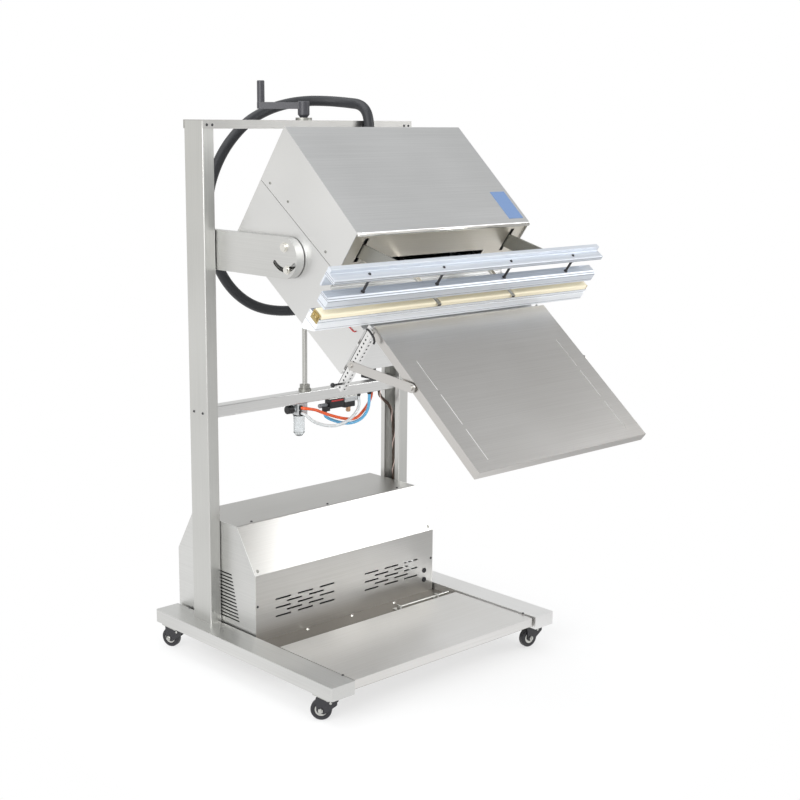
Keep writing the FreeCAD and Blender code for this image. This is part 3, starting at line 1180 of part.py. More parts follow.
def air_parts():
    """The filter with its bowl and knob, the valves and the tubes between them."""
    beam_bottom = LOWER_BEAM_TOP - LOWER_BEAM_HEIGHT
    x = FILTER_CENTRE_X
    half = FILTER_SIZE / 2
    low = beam_bottom - FILTER_HEIGHT
    middle = beam_bottom - FILTER_HEIGHT / 2
    housing = upright([(x - half, -half), (x + half, -half), (x + half, half), (x - half, half)],
                      4, low, beam_bottom)
    housing = cut(housing, [rod((x, half - AIR_PORT_DEPTH, middle), (x, half + 1, middle),
                                AIR_PORT_RADIUS)])
    housing = fuse(housing, ring((x - half, 0, middle), (x - half - 6, 0, middle), 9, 4.1))
    bowl_view = [(0, low), (BOWL_RADIUS, low), (BOWL_RADIUS, low - BOWL_HEIGHT + 12),
                 (BOWL_RADIUS - 7, low - BOWL_HEIGHT + 3), (5, low - BOWL_HEIGHT),
                 (0, low - BOWL_HEIGHT)]
    wire = Part.makePolygon([vec(r, 0, z) for r, z in bowl_view + bowl_view[:1]])
    bowl = Part.Face(wire).revolve(vec(0, 0, 0), vec(0, 0, 1), 360)
    bowl.translate(vec(x, 0, 0))
    knob_start = x - half - 6.3
    knob = fuse(rod((knob_start, 0, middle), (knob_start - REGULATOR_KNOB_LENGTH, 0, middle),
                    REGULATOR_KNOB_RADIUS),
                rod((knob_start + 6, 0, middle), (knob_start, 0, middle), 4))
    knob = knob.makeFillet(2, [edge for edge in knob.Edges
                               if abs(edge.Length - 2 * math.pi * REGULATOR_KNOB_RADIUS) < 0.5])
    plate = block((88, 204), (-20, 10), (beam_bottom - 3, beam_bottom))
    valve_a = block((88, 146), (-22, 8), (beam_bottom - 33, beam_bottom - 3))
    valve_a = valve_a.makeFillet(4, [edge for edge in valve_a.Edges
                                     if edge.CenterOfMass.z < beam_bottom - 5])
    head_b = block((150, 204), (-20, 8), (beam_bottom - 19, beam_bottom - 3))
    coil_b = block((150, 198), (-18, 4), (beam_bottom - 38, beam_bottom - 19))
    coil_b = coil_b.makeFillet(5, [edge for edge in coil_b.Edges
                                   if edge.CenterOfMass.z < beam_bottom - 21])
    drain = rod((175, -8, beam_bottom - 38), (175, -8, beam_bottom - 54), 8)
    muffler = rod((88, -4, beam_bottom - 22), (54, -4, beam_bottom - 22), 7)
    tee = block((60, 88), (-21, -11.5), (beam_bottom - 39, beam_bottom - 25))
    blue_start = beam_bottom - 39
    tubes = {
        "tube_orange": [(x - 10, -half, 732), (x - 10, -30, 732), (-26, -38, 731), (-12, -42, 728),
                        (12, -40, 722), (43, -34, 708), (98, -32, 687), (146, -30, 672),
                        (199, -20, 664), (246, 0, 678), (276, 6, 700), (290, 8, 722),
                        (292, 8, 733), (292, 8, beam_bottom)],
        "tube_blue": [(68, -16, blue_start), (68, -16, 695), (75, -16, 686), (91, -16, 677),
                      (125, -16, 663), (168, -16, 651), (211, -16, 654), (240, -16, 668),
                      (257, -16, 692), (262, -14, 718), (262, -14, beam_bottom)],
        "tube_clear": [(x - 10, -half, 716), (x - 10, -31, 716), (-30, -39, 711), (-20, -44, 701),
                       (-2, -46, 686), (36, -47, 670), (80, -48, 661), (124, -47, 664),
                       (160, -44, 677), (188, -37, 694), (208, -27, 712), (213, -15, 730),
                       (213, -15, beam_bottom)],
    }
    nodes = {name: path_tube(name, route, AIR_TUBE_RADIUS) for name, route in tubes.items()}
    nodes.update({"filter_housing": housing, "filter_bowl": bowl, "regulator_knob": knob,
                  "solenoid_valves": group(fuse(plate, valve_a, head_b, coil_b, drain,
                                                muffler, tee))})
    harness = [(318, 0, beam_bottom), (318, 0, 732), (326, 0, 717), (344, 0, 702),
               (364, 1, 686), (380, 2, 660), (385, 2, 620), (388, 1, 560), (385, -2, 480),
               (389, 2, 390), (386, 0, 300), (388.5, 0, 220), (388, 0, 160), (388, 0, BASE_TOP)]
    nodes["wire_harness"] = path_tube("wire_harness", harness, HARNESS_RADIUS)
    return nodes


def build():
    nodes = {}
    for part in (rails, deck, treadle, casters, pump_box, machinery, posts, crank, carriage, hose,
                 head, jaws, nozzles, tray, air_parts):
        nodes.update(part())
    return nodes


def main():
    os.makedirs("parts", exist_ok=True)
    nodes = build()
    for name, shape in nodes.items():
        shape.translate(vec(0, -Y_MID, 0))
        shape.exportStep("parts/" + name + ".step")
    box = Part.makeCompound(list(nodes.values())).BoundBox
    print("nodes", len(nodes), "y mid", round(Y_MID, 2))
    print("box", [round(value, 1) for value in
                  (box.XMin, box.XMax, box.YMin, box.YMax, box.ZMin, box.ZMax)])
    for name, shape in nodes.items():
        if not shape.isValid():
            print("not valid", name)


main()
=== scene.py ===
import math

import bmesh
import bpy
from mathutils import Matrix, Vector


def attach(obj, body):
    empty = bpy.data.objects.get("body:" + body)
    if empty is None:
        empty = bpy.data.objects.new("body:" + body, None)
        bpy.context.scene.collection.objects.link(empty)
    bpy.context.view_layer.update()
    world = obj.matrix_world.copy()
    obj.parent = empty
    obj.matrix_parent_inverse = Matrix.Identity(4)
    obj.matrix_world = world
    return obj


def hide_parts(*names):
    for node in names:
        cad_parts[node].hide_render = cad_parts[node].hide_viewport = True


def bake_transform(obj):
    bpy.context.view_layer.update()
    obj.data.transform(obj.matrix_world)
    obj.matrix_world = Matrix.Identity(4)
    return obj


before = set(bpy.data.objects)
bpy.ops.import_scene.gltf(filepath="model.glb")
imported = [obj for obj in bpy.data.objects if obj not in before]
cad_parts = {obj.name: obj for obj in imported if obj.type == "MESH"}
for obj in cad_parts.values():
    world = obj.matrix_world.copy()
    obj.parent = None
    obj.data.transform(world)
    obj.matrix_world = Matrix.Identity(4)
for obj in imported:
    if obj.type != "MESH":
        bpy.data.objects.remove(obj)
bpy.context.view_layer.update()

bl_info = {
    "name": "External vacuum sealer",
    "version": (1, 0, 0),
    "blender": (4, 5, 0),
    "location": "3D View > Sidebar > Sealer",
    "description": "Dresses an external vacuum sealer on a wheeled stand",
    "category": "Object",
}

# Shared places, in millimetres. The posts stand on y = 0 here and the floor is at z = 0.
POSTS_Y = 449.63
HEAD_TILT = math.radians(36.13)
TRAY_DROP = math.radians(3.5)
PIVOT = (-361.0, 1277.5)
PIVOT_IN_HEAD = (219.0, 146.0)
TRAY_HINGE = (600.0, 176.0)
NOZZLES_X = (-108.0, 188.0)
STUDS_X = (-398.0, -132.0, 132.0, 398.0)
# The camera of the photograph: its place, the way it looks in degrees and its roll in radians
CAMERA_PLACE = (-2776.7, -3380.1, 1626.5)
CAMERA_AZIMUTH = -43.35
CAMERA_ELEVATION = 11.33
CAMERA_ROLL = 0.0095
# The ways of the grey flag that the head mirrors and of the grey wall that upright fronts mirror
FLAG_WAY = (0.7, 0.07, 0.71)
BANDS_WAY = (0.686, -0.727, 0.0)


def at(x, y, z):
    """A place in millimetres as metres in the row frame."""
    return Vector((x, y + POSTS_Y, z)) / 1000


def turned(y, z, angle):
    """A pair of lengths turned about X by an angle in radians."""
    return (y * math.cos(angle) - z * math.sin(angle), y * math.sin(angle) + z * math.cos(angle))


def head_at(x, w, v):
    """A place drawn in the level head, w forward and v up, as metres in the row frame."""
    y, z = turned(PIVOT_IN_HEAD[0] - w, v - PIVOT_IN_HEAD[1], HEAD_TILT)
    return at(x, y + PIVOT[0], z + PIVOT[1])


def head_way(x, w, v):
    """A direction drawn in the level head."""
    y, z = turned(-w, v, HEAD_TILT)
    return Vector((x, y, z)).normalized()


def tray_at(x, along, up):
    """A place drawn in the level tray, along from its hinge, as metres in the row frame."""
    y, z = turned(-along, up, TRAY_DROP)
    return head_at(x, TRAY_HINGE[0] - y, TRAY_HINGE[1] + z)


def colour(code):
    """An sRGB hex value as a linear colour."""
    channels = [int(code[i:i + 2], 16) / 255 for i in (0, 2, 4)]
    linear = [c / 12.92 if c <= 0.04045 else ((c + 0.055) / 1.055) ** 2.4 for c in channels]
    return (*linear, 1.0)


# Materials

# Repeats per metre along X, Y and Z. The real belt lines of a number 4 finish are 0.05 mm apart:
# they are drawn near 1 mm so that they show.
BELT_ALONG_X = (3.0, 620.0, 620.0)
BELT_ALONG_Y = (620.0, 3.0, 620.0)
BELT_ALONG_Z = (620.0, 620.0, 3.0)
DIE_ALONG_X = (1.5, 420.0, 420.0)
CLOUDS = (2.2, 2.2, 2.2)
# Strength and height in metres of a surface's relief
BELT_RELIEF = (0.05, 0.0004)
DIE_RELIEF = (0.08, 0.0004)
FINE_RELIEF = (0.25, 0.00006)
GRIT_RELIEF = (0.25, 0.00012)
# Least and greatest roughness
SATIN = (0.3, 0.42)
ANODISED = (0.36, 0.5)
# The grooves drawn into the extrusions, as heights in the level head, and the painted shade of each
# groove: a dark line multiplied into the colour
JAW_GROOVES = (190, 214, 222)
BAR_GROOVES = (261, 279.5, 283.5, 331, 336.5)
GROOVE_PAINTED_SHADE = ((-0.9, "FFFFFF"), (-0.5, "9A9CA2"), (0.5, "A4A6AC"), (0.9, "FFFFFF"))
GROOVE_MARGIN = 10
MATERIALS = {}


def add(tree, kind, inputs=None, stops=(), **settings):
    """Adds one node with its settings, what its inputs are linked or set to, and its colours."""
    node = tree.nodes.new(kind)
    for key, value in settings.items():
        if hasattr(node, key):
            setattr(node, key, value)
        else:
            node.inputs[key.replace("_", " ")].default_value = value
    for key, source in (inputs or {}).items():
        if isinstance(source, bpy.types.NodeSocket):
            tree.links.new(source, node.inputs[key])
        else:
            node.inputs[key].default_value = source
    while stops and len(node.color_ramp.elements) < len(stops):
        node.color_ramp.elements.new(0.5)
    for index, (position, code) in enumerate(stops):
        node.color_ramp.elements[index].position = position
        node.color_ramp.elements[index].color = colour(code)
    return node


def new_material(name, **sockets):
    """An empty material with its main shader, and the shader's plain values."""
    material = bpy.data.materials.new(name)
    material.use_nodes = True
    tree = material.node_tree
    tree.nodes.clear()
    shader = tree.nodes.new("ShaderNodeBsdfPrincipled")
    for key, value in sockets.items():
        shader.inputs[key.replace("_", " ")].default_value = value
    output = tree.nodes.new("ShaderNodeOutputMaterial")
    tree.links.new(shader.outputs[0], output.inputs[0])
    return material, tree, shader


def skin(name, stretch, colours, rough, bump=GRIT_RELIEF, cloudy=False, grooves=(), **sockets):
    """A worked surface from one noise, stretched along the way the surface was made.

    stretch is the pattern's repeats per metre along X, Y and Z. bump is its strength and its
    height in metres. cloudy adds the slow patches of handled sheet. grooves are the heights in the
    level head, in millimetres, of painted groove shade: dark lines along X."""
    material, tree, shader = new_material(name, **sockets)
    place = add(tree, "ShaderNodeTexCoord").outputs["Object"]
    scaled = add(tree, "ShaderNodeMapping", {"Vector": place, "Scale": stretch}).outputs[0]
    grain = add(tree, "ShaderNodeTexNoise", {"Vector": scaled}, Scale=1.0, Detail=3.0,
                Roughness=0.6).outputs[0]
    tone = grain
    if cloudy:
        wide = add(tree, "ShaderNodeMapping", {"Vector": place, "Scale": CLOUDS})
        clouds = add(tree, "ShaderNodeTexNoise", {"Vector": wide.outputs[0]}, Scale=1.0,
                     Detail=2.0).outputs[0]
        tone = add(tree, "ShaderNodeMix", {0: 0.55, "A": grain, "B": clouds},
                   data_type="FLOAT").outputs[0]
    shade = add(tree, "ShaderNodeValToRGB", {"Fac": tone},
                stops=((0.3, colours[0]), (0.7, colours[1]))).outputs[0]
    # Painted shade along the grooves: dark lines multiplied into the base colour
    if grooves:
        upward = head_way(0, 0, 1)
        height = add(tree, "ShaderNodeVectorMath", {0: place, 1: upward},
                     operation="DOT_PRODUCT").outputs["Value"]
        low, high = min(grooves) - GROOVE_MARGIN, max(grooves) + GROOVE_MARGIN
        share = add(tree, "ShaderNodeMapRange", {
            "Value": height, "From Min": head_at(0, 0, low).dot(upward),
            "From Max": head_at(0, 0, high).dot(upward)}).outputs[0]
        stops = [((groove + offset - low) / (high - low), code)
                 for groove in grooves for offset, code in GROOVE_PAINTED_SHADE]
        lines = add(tree, "ShaderNodeValToRGB", {"Fac": share}, stops=stops).outputs[0]
        shade = add(tree, "ShaderNodeMix", {0: 1.0, 6: shade, 7: lines}, data_type="RGBA",
                    blend_type="MULTIPLY").outputs[2]
    tree.links.new(shade, shader.inputs["Base Color"])
    gloss = add(tree, "ShaderNodeMapRange", {"Value": grain, "To Min": rough[0],
                                             "To Max": rough[1]})
    tree.links.new(gloss.outputs[0], shader.inputs["Roughness"])
    relief = add(tree, "ShaderNodeBump", {"Height": grain, "Strength": bump[0],
                                          "Distance": bump[1]})
    tree.links.new(relief.outputs[0], shader.inputs["Normal"])
    return material


def see_through(name, code, rough, passes):
    """Clear or tinted plastic that light passes through, with a slight milky variation."""
    material, tree, shader = new_material(name, IOR=1.5, Transmission_Weight=passes,
                                          Roughness=rough)
    place = add(tree, "ShaderNodeTexCoord").outputs["Object"]
    haze = add(tree, "ShaderNodeTexNoise", {"Vector": place}, Scale=60.0, Detail=1.0)
    value = add(tree, "ShaderNodeMapRange", {"Value": haze.outputs[0], "To Min": 0.92,
                                             "To Max": 1.06})
    tint = add(tree, "ShaderNodeHueSaturation", {"Value": value.outputs[0],
                                                 "Color": colour(code)})
    tree.links.new(tint.outputs[0], shader.inputs["Base Color"])
    return material


def grit(repeats):
    """An even grit, with the same repeats per metre every way."""
    return (repeats, repeats, repeats)


def make_materials():
    """Every finish of the machine, by a short name."""
    m = MATERIALS
    # Brushed 304 stainless: warm grey, fine straight belt lines and slow cloudy patches
    for key, name, stretch, colours in (
            ("sheet_x", "sheet", BELT_ALONG_X, ("CBCAC7", "E0DFDC")),
            # The box and the top beam take a darker copy of the same stainless: painted shade
            ("box", "box", BELT_ALONG_X, ("B4B3B0", "C9C8C6")),
            ("sheet_y", "rail", BELT_ALONG_Y, ("CBCBC9", "E0E0DE")),
            ("post", "channel", BELT_ALONG_Z, ("C1C1BE", "D7D7D4")),
            ("cover", "head cover", BELT_ALONG_X, ("D4D4D3", "EAEAE9")),
            ("treadle", "treadle", BELT_ALONG_X, ("D6D4D0", "E9E8E7")),
            # A lighter copy of the same rail stainless: painted light on the right rail and the
            # tray bearers
            ("rail_painted_light", "rail with painted light", BELT_ALONG_Y, ("E2E1DF", "F2F2F2")),
            # The deck is a dark, brownish copy of the same stainless: painted shade and painted
            # reflection for the recess in front of the box
            ("deck", "deck", BELT_ALONG_X, ("6C675F", "89847D")),
            ("panel", "front panel", BELT_ALONG_X, ("DCD6CA", "F0EADF"))):
        m[key] = skin("brushed stainless " + name, stretch, colours, SATIN, BELT_RELIEF, True,
                      Metallic=1.0)
    m["tray"] = skin("brushed stainless tray", BELT_ALONG_X, ("BEBBB7", "D3D1CE"),
                     (0.26, 0.36), (0.03, 0.0003), True, Metallic=1.0)
    # Polished 304 stainless: sharper reflections, without the cloudy patches
    m["bright"] = skin("polished stainless hem", BELT_ALONG_X, ("D6D4CE", "EFEDE7"),
                       (0.16, 0.24), BELT_RELIEF, Metallic=1.0)
    # Zinc plate: a fine mottled silver, brighter on the small parts and duller on the nuts
    m["plated"] = skin("zinc plated steel", grit(500.0), ("B4B4B0", "D2D2CE"), (0.24, 0.36),
                       FINE_RELIEF, Metallic=1.0)
    m["nut_metal"] = skin("dull plated steel", grit(500.0), ("8B8B86", "A9A9A4"), (0.35, 0.5),
                          FINE_RELIEF, Metallic=1.0)
    # Die cast zinc: a grainy pale grey
    m["cast"] = skin("bare die cast zinc", grit(500.0), ("B9BCBE", "D3D5D6"), (0.36, 0.5),
                     Metallic=0.8)
    # Copper alloys: a dull brown yellow for the nut, a pale one for the terminals
    m["bronze"] = skin("bearing bronze", grit(600.0), ("9C8A5E", "BFAE7C"), (0.3, 0.42),
                       FINE_RELIEF, Metallic=1.0)
    m["brass"] = skin("brass terminal", grit(500.0), ("A8925C", "CFBD8C"), (0.28, 0.4),
                      FINE_RELIEF, Metallic=1.0)
    # Clear anodised 6063 extrusion: pale and satin, with faint die lines along X
    m["alu"] = skin("anodised aluminium", DIE_ALONG_X, ("D3D9E2", "EBEFF4"), ANODISED,
                    DIE_RELIEF, Metallic=0.75)
    # The lower jaw is a lighter, less metallic copy of the same extrusion: painted light. Both jaw
    # finishes carry painted groove shade
    m["jaw_alu_painted_light"] = skin("anodised jaw extrusion with painted light", DIE_ALONG_X, ("E8ECF1", "F9FBFD"), ANODISED,
                        DIE_RELIEF, grooves=JAW_GROOVES, Metallic=0.5)
    m["bar_alu"] = skin("anodised seal bar extrusion", DIE_ALONG_X, ("D3D9E2", "EBEFF4"),
                        ANODISED, DIE_RELIEF, grooves=BAR_GROOVES, Metallic=0.75)
    # Sponge: pale cream, with its pores as grit
    m["silicone"] = skin("cream silicone sponge", grit(1400.0), ("F2E7C9", "FAF2DA"),
                         (0.55, 0.7))
    # Black paint, nylon, rubber and polyurethane: near black, each with its own grit and gloss
    m["crank"] = skin("black painted casting", grit(700.0), ("2A2A2F", "45454C"), (0.35, 0.5),
                      (0.25, 0.0002), Coat_Weight=0.2)
    m["black"] = skin("black moulded nylon", grit(1100.0), ("131315", "252528"), (0.4, 0.55))
    m["black_steel"] = skin("black powder coated steel", grit(900.0), ("1B1B1E", "2E2E33"),
                            (0.35, 0.5), Coat_Weight=0.15)
    m["hose"] = skin("black rubber hose", grit(800.0), ("17181B", "2C2E33"), (0.42, 0.55))
    m["tread"] = skin("black polyurethane tread", grit(900.0), ("18181B", "2B2B30"),
                      (0.35, 0.5))
    m["machine"] = skin("dark painted machine casting", grit(900.0), ("2C2E30", "404345"),
                        (0.45, 0.6))
    # Moulded and extruded plastics: plain colours with the fine grit of the mould
    m["wires"] = skin("dark brown cable sheath", grit(900.0), ("35291F", "54443A"), (0.4, 0.55))
    m["pink"] = skin("pale pink cable sheath", grit(900.0), ("D9BDB4", "EFDAD2"), (0.4, 0.5))
    m["membrane"] = skin("blue polyester membrane", grit(1500.0), ("5F7CA8", "7B95BE"),
                         (0.3, 0.42))
    m["red"] = skin("red moulded plastic", grit(900.0), ("A31F22", "BE3230"), (0.35, 0.45))
    m["tan"] = skin("tan moulded fitting", grit(900.0), ("B98F6E", "CFA986"), (0.4, 0.5))
    m["grey"] = skin("grey moulded silencer", grit(900.0), ("7E8286", "9A9EA2"), (0.5, 0.65))
    # Polyurethane tube and polycarbonate: light comes through, most of all in the bowl
    m["orange"] = see_through("orange polyurethane tube", "F0602A", 0.25, 0.1)
    m["blue"] = see_through("blue polyurethane tube", "6BBDEC", 0.25, 0.1)
    m["clear"] = see_through("clear polyurethane tube", "EDF0F1", 0.3, 0.35)
    m["bowl"] = see_through("clear polycarbonate bowl", "E6EAEC", 0.12, 0.8)


# The finish of each CAD piece. The forks and wheels of the casters come with CASTERS.
FINISHES = {
    "base_rail_left": "sheet_y", "base_rail_right": "rail_painted_light", "base_deck": "deck",
    "foot_treadle": "treadle", "treadle_hardware": "plated", "caster_plates": "plated",
    "box_cover": "box", "box_ends": "sheet_y", "vacuum_pump": "machine",
    "electrical_units": "machine", "post_left": "post", "post_right": "post",
    "top_beam": "box", "lower_beam": "cover", "screw_bearings": "nut_metal",
    "lead_screw": "plated", "crank_handle": "crank", "crank_grip": "crank",
    "carriage_arm_left": "sheet_y", "carriage_arm_right": "sheet_y",
    "carriage_sliders": "black", "carriage_beam": "sheet_x", "lift_nut": "bronze",
    "hose_fittings": "black", "head_body": "cover", "head_cover": "cover",
    "front_panel": "panel", "tilt_bolts": "bright", "lower_jaw": "jaw_alu_painted_light",
    "silicone_strip": "silicone", "carrier_bar": "bar_alu", "seal_bar": "bar_alu",
    "jaw_yoke": "nut_metal",
    "jaw_cylinders": "alu", "jaw_rods": "plated", "nozzle_slide": "bright",
    "nozzle_cylinder": "alu", "work_tray": "tray", "tray_bearers": "rail_painted_light",
    "tray_links": "tray", "strut_knob_left": "black", "strut_knob_right": "black",
    "filter_housing": "cast", "filter_bowl": "bowl", "regulator_knob": "black",
    "solenoid_valves": "black",
}
# Each caster's place on the floor and its heading, in degrees
CASTERS = {"front_left": (-421.5, -613.5, 41), "rear_left": (-421.5, 116, 20),
           "front_right": (421.5, -613.5, 83), "rear_right": (421.5, 116, 35)}


# Mesh making

def mesh_piece(name, mesh, material, body, smooth=True):
    """Puts a finished mesh in the scene, with one material, on one body or none yet."""
    piece = bpy.data.objects.new(name, mesh)
    bpy.context.scene.collection.objects.link(piece)
    mesh.materials.clear()
    mesh.materials.append(MATERIALS[material])
    for polygon in mesh.polygons:
        polygon.use_smooth = smooth
    if body:
        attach(piece, body)
    return piece


def to_mesh(name, work):
    """A mesh from a finished work mesh, with its faces turned outwards."""
    bmesh.ops.recalc_face_normals(work, faces=work.faces)
    mesh = bpy.data.meshes.new(name)
    work.to_mesh(mesh)
    work.free()
    return mesh


def from_bmesh(name, work, material, body, smooth=False):
    """A piece from a work mesh whose touching points are joined first."""
    bmesh.ops.remove_doubles(work, verts=work.verts, dist=1e-6)
    return mesh_piece(name, to_mesh(name, work), material, body, smooth)


def soften(piece, width, segments=2, angle=35):
    """Rounds a piece's edges by a width in millimetres."""
    bevel = piece.modifiers.new("rounded edges", "BEVEL")
    bevel.width = width / 1000
    bevel.segments = segments
    bevel.angle_limit = math.radians(angle)
    return piece


def add_block(work, place, low, high):
    """A box between two corners drawn in millimetres, put in place by a function."""
    corners = [work.verts.new(place(x, y, z)) for x in (low[0], high[0])
               for y in (low[1], high[1]) for z in (low[2], high[2])]
    for face in ((0, 1, 3, 2), (4, 6, 7, 5), (0, 4, 5, 1), (2, 3, 7, 6), (0, 2, 6, 4),
                 (1, 5, 7, 3)):
        work.faces.new([corners[i] for i in face])


def add_block_piece(name, low, high, material, width, segments=2):
    """One block on the frame, with its edges rounded by a width in millimetres."""
    work = bmesh.new()
    add_block(work, at, low, high)
    return soften(from_bmesh(name, work, material, "frame"), width, segments)


def add_head_blocks(work, side, blocks):
    """Blocks drawn in the level head for the right side, on the side given as -1 or 1."""
    for low, high in blocks:
        add_block(work, head_at, (side * low[0], *low[1:]), (side * high[0], *high[1:]))


def round_points(work, middle, side, other, radius, sides):
    """A ring of points about a middle, with its radius in metres."""
    return [work.verts.new(middle + radius * (
        side * math.cos(i * math.tau / sides) + other * math.sin(i * math.tau / sides)))
        for i in range(sides)]


def add_turned(work, centre, way, profile, sides=32, capped=True):
    """A turned solid from (distance along, radius) pairs in millimetres, capped or a ring."""
    way = Vector(way).normalized()
    side = way.orthogonal().normalized()
    other = way.cross(side)
    rings = []
    for along, radius in profile:
        middle = centre + way * along / 1000
        if radius < 1e-6:
            rings.append([work.verts.new(middle)])
            continue
        rings.append(round_points(work, middle, side, other, radius / 1000, sides))
    for first, second in zip(rings, rings[1:]):
        for i in range(sides):
            j = (i + 1) % sides
            ends = [first[i % len(first)], first[j % len(first)],
                    second[j % len(second)], second[i % len(second)]]
            corners = [v for k, v in enumerate(ends) if v not in ends[:k]]
            if len(corners) > 2:
                work.faces.new(corners)
    for end in (rings[0], rings[-1]) if capped else ():
        if len(end) > 2:
            work.faces.new(end)


def smooth_line(route, resolution=24):
    """Points along the route's own NURBS line."""
    curve = route_curve("guide line", route, 0.0, resolution)
    holder = bpy.data.objects.new("guide line", curve)
    bpy.context.scene.collection.objects.link(holder)
    bpy.context.view_layer.update()
    mesh = bpy.data.meshes.new_from_object(
        holder.evaluated_get(bpy.context.evaluated_depsgraph_get()))
    line = [vertex.co.copy() for vertex in mesh.vertices]
    bpy.data.objects.remove(holder)
    bpy.data.meshes.remove(mesh)
    return line


def route_curve(name, route, radius, resolution=10):
    """A NURBS curve with the route's points as control points, round in section."""
    curve = bpy.data.curves.new(name, "CURVE")
    curve.dimensions = "3D"
    curve.resolution_u = resolution
    curve.bevel_depth = radius / 1000
    curve.bevel_resolution = 5
    curve.use_fill_caps = True
    spline = curve.splines.new("NURBS")
    spline.points.add(len(route) - 1)
    for point, place in zip(spline.points, route):
        point.co = (*place, 1.0)
    spline.order_u = 3
    spline.use_endpoint_u = True
    return curve


def line_length(line):
    """The length of a line of points, in metres."""
    return sum((b - a).length for a, b in zip(line, line[1:]))


def evenly(line, step):
    """Points at equal steps along a line of points."""
    total = line_length(line)
    count = max(2, round(total / step))
    places = []
    travelled = 0.0
    index = 0
    span = line[1] - line[0]
    for i in range(count + 1):
        wanted = total * i / count
        while index < len(line) - 2 and travelled + span.length < wanted:
            travelled += span.length
            index += 1
            span = line[index + 1] - line[index]
        share = (wanted - travelled) / span.length if span.length > 0 else 0.0
        places.append(line[index] + span * min(1.0, share))
    return places


def add_tube(work, line, radii, sides=20):
    """A closed tube along a line, with one radius in millimetres at each point."""
    side = (line[1] - line[0]).orthogonal().normalized()
    rings = []
    for index, point in enumerate(line):
        before = line[max(index - 1, 0)]
        after = line[min(index + 1, len(line) - 1)]
        way = (after - before).normalized()
        side = (side - way * side.dot(way)).normalized()
        other = way.cross(side)
        rings.append(round_points(work, point, side, other, radii[index] / 1000, sides))
    for first, second in zip(rings, rings[1:]):
        for i in range(sides):
            j = (i + 1) % sides
            work.faces.new((first[i], first[j], second[j], second[i]))
    for end in (rings[0], rings[-1]):
        work.faces.new(end)


def tube_mesh(name, line, radii, sides=20):
    """A mesh of one closed tube."""
    work = bmesh.new()
    add_tube(work, line, radii, sides)
    return to_mesh(name, work)


# Screws, by Geometry Nodes

def screw_tree():
    """Puts a domed head with a six-sided socket at each point, facing the way stored there."""
    tree = bpy.data.node_groups.new("screw heads", "GeometryNodeTree")
    interface = tree.interface
    interface.new_socket("Geometry", in_out="INPUT", socket_type="NodeSocketGeometry")
    for name, value in (("Head radius", 0.004), ("Head height", 0.002)):
        socket = interface.new_socket(name, in_out="INPUT", socket_type="NodeSocketFloat")
        socket.default_value = value
        socket.subtype = "DISTANCE"
    interface.new_socket("Material", in_out="INPUT", socket_type="NodeSocketMaterial")
    interface.new_socket("Geometry", in_out="OUTPUT", socket_type="NodeSocketGeometry")
    start = add(tree, "NodeGroupInput").outputs
    small = add(tree, "ShaderNodeMath", {0: start["Head radius"], 1: 0.66},
                operation="MULTIPLY")
    hole = add(tree, "ShaderNodeMath", {0: start["Head radius"], 1: 0.42},
               operation="MULTIPLY")
    dome = add(tree, "GeometryNodeMeshCone",
               {"Radius Top": small.outputs[0], "Radius Bottom": start["Head radius"],
                "Depth": start["Head height"]}, Vertices=20)
    socket = add(tree, "GeometryNodeMeshCylinder",
                 {"Radius": hole.outputs[0], "Depth": start["Head height"]}, Vertices=6)
    raised = add(tree, "ShaderNodeCombineXYZ", {"Z": start["Head height"]})
    lifted = add(tree, "GeometryNodeTransform",
                 {"Geometry": socket.outputs["Mesh"], "Translation": raised.outputs[0]})
    head = add(tree, "GeometryNodeMeshBoolean",
               {"Mesh 1": dome.outputs["Mesh"], "Mesh 2": lifted.outputs[0]},
               operation="DIFFERENCE")
    facing = add(tree, "GeometryNodeInputNamedAttribute", data_type="FLOAT_VECTOR",
                 Name="facing")
    aim = add(tree, "FunctionNodeAlignRotationToVector", {"Vector": facing.outputs[0]}, axis="Z")
    placed = add(tree, "GeometryNodeInstanceOnPoints",
                 {"Points": start["Geometry"], "Instance": head.outputs["Mesh"],
                  "Rotation": aim.outputs[0]})
    real = add(tree, "GeometryNodeRealizeInstances", {"Geometry": placed.outputs[0]})
    painted = add(tree, "GeometryNodeSetMaterial",
                  {"Geometry": real.outputs[0], "Material": start["Material"]})
    add(tree, "NodeGroupOutput", {"Geometry": painted.outputs[0]})
    return tree


def screws(name, body, places, radius, height, material):
    """One mesh of screw heads at (place, facing) pairs. Sizes are in millimetres."""
    mesh = bpy.data.meshes.new(name + " places")
    mesh.from_pydata([place for place, way in places], [], [])
    facing = mesh.attributes.new("facing", "FLOAT_VECTOR", "POINT")
    for index, (place, way) in enumerate(places):
        facing.data[index].vector = Vector(way).normalized()
    holder = bpy.data.objects.new(name + " places", mesh)
    bpy.context.scene.collection.objects.link(holder)
    tree = bpy.data.node_groups.get("screw heads") or screw_tree()
    modifier = holder.modifiers.new("screws", "NODES")
    modifier.node_group = tree
    values = {"Head radius": radius / 1000, "Head height": height / 1000,
              "Material": MATERIALS[material]}
    for item in tree.interface.items_tree:
        if item.in_out == "INPUT" and item.name in values:
            modifier[item.identifier] = values[item.name]
    bpy.context.view_layer.update()
    made = bpy.data.meshes.new_from_object(
        holder.evaluated_get(bpy.context.evaluated_depsgraph_get()))
    bpy.data.objects.remove(holder)
    return mesh_piece(name, made, material, body, False)


# Settings

class StageSettings(bpy.types.PropertyGroup):
    lens: bpy.props.FloatProperty(
        name="Lens", description="Focal length of the camera", default=63.288, unit="CAMERA")
    floor_colour: bpy.props.FloatVectorProperty(
        name="Floor", description="Colour of the studio floor", subtype="COLOR", size=4,
        default=colour("F4F4F4"))
    key_power: bpy.props.FloatProperty(
        name="Key light", description="Power of the large light on the left", default=115.0,
        unit="POWER")


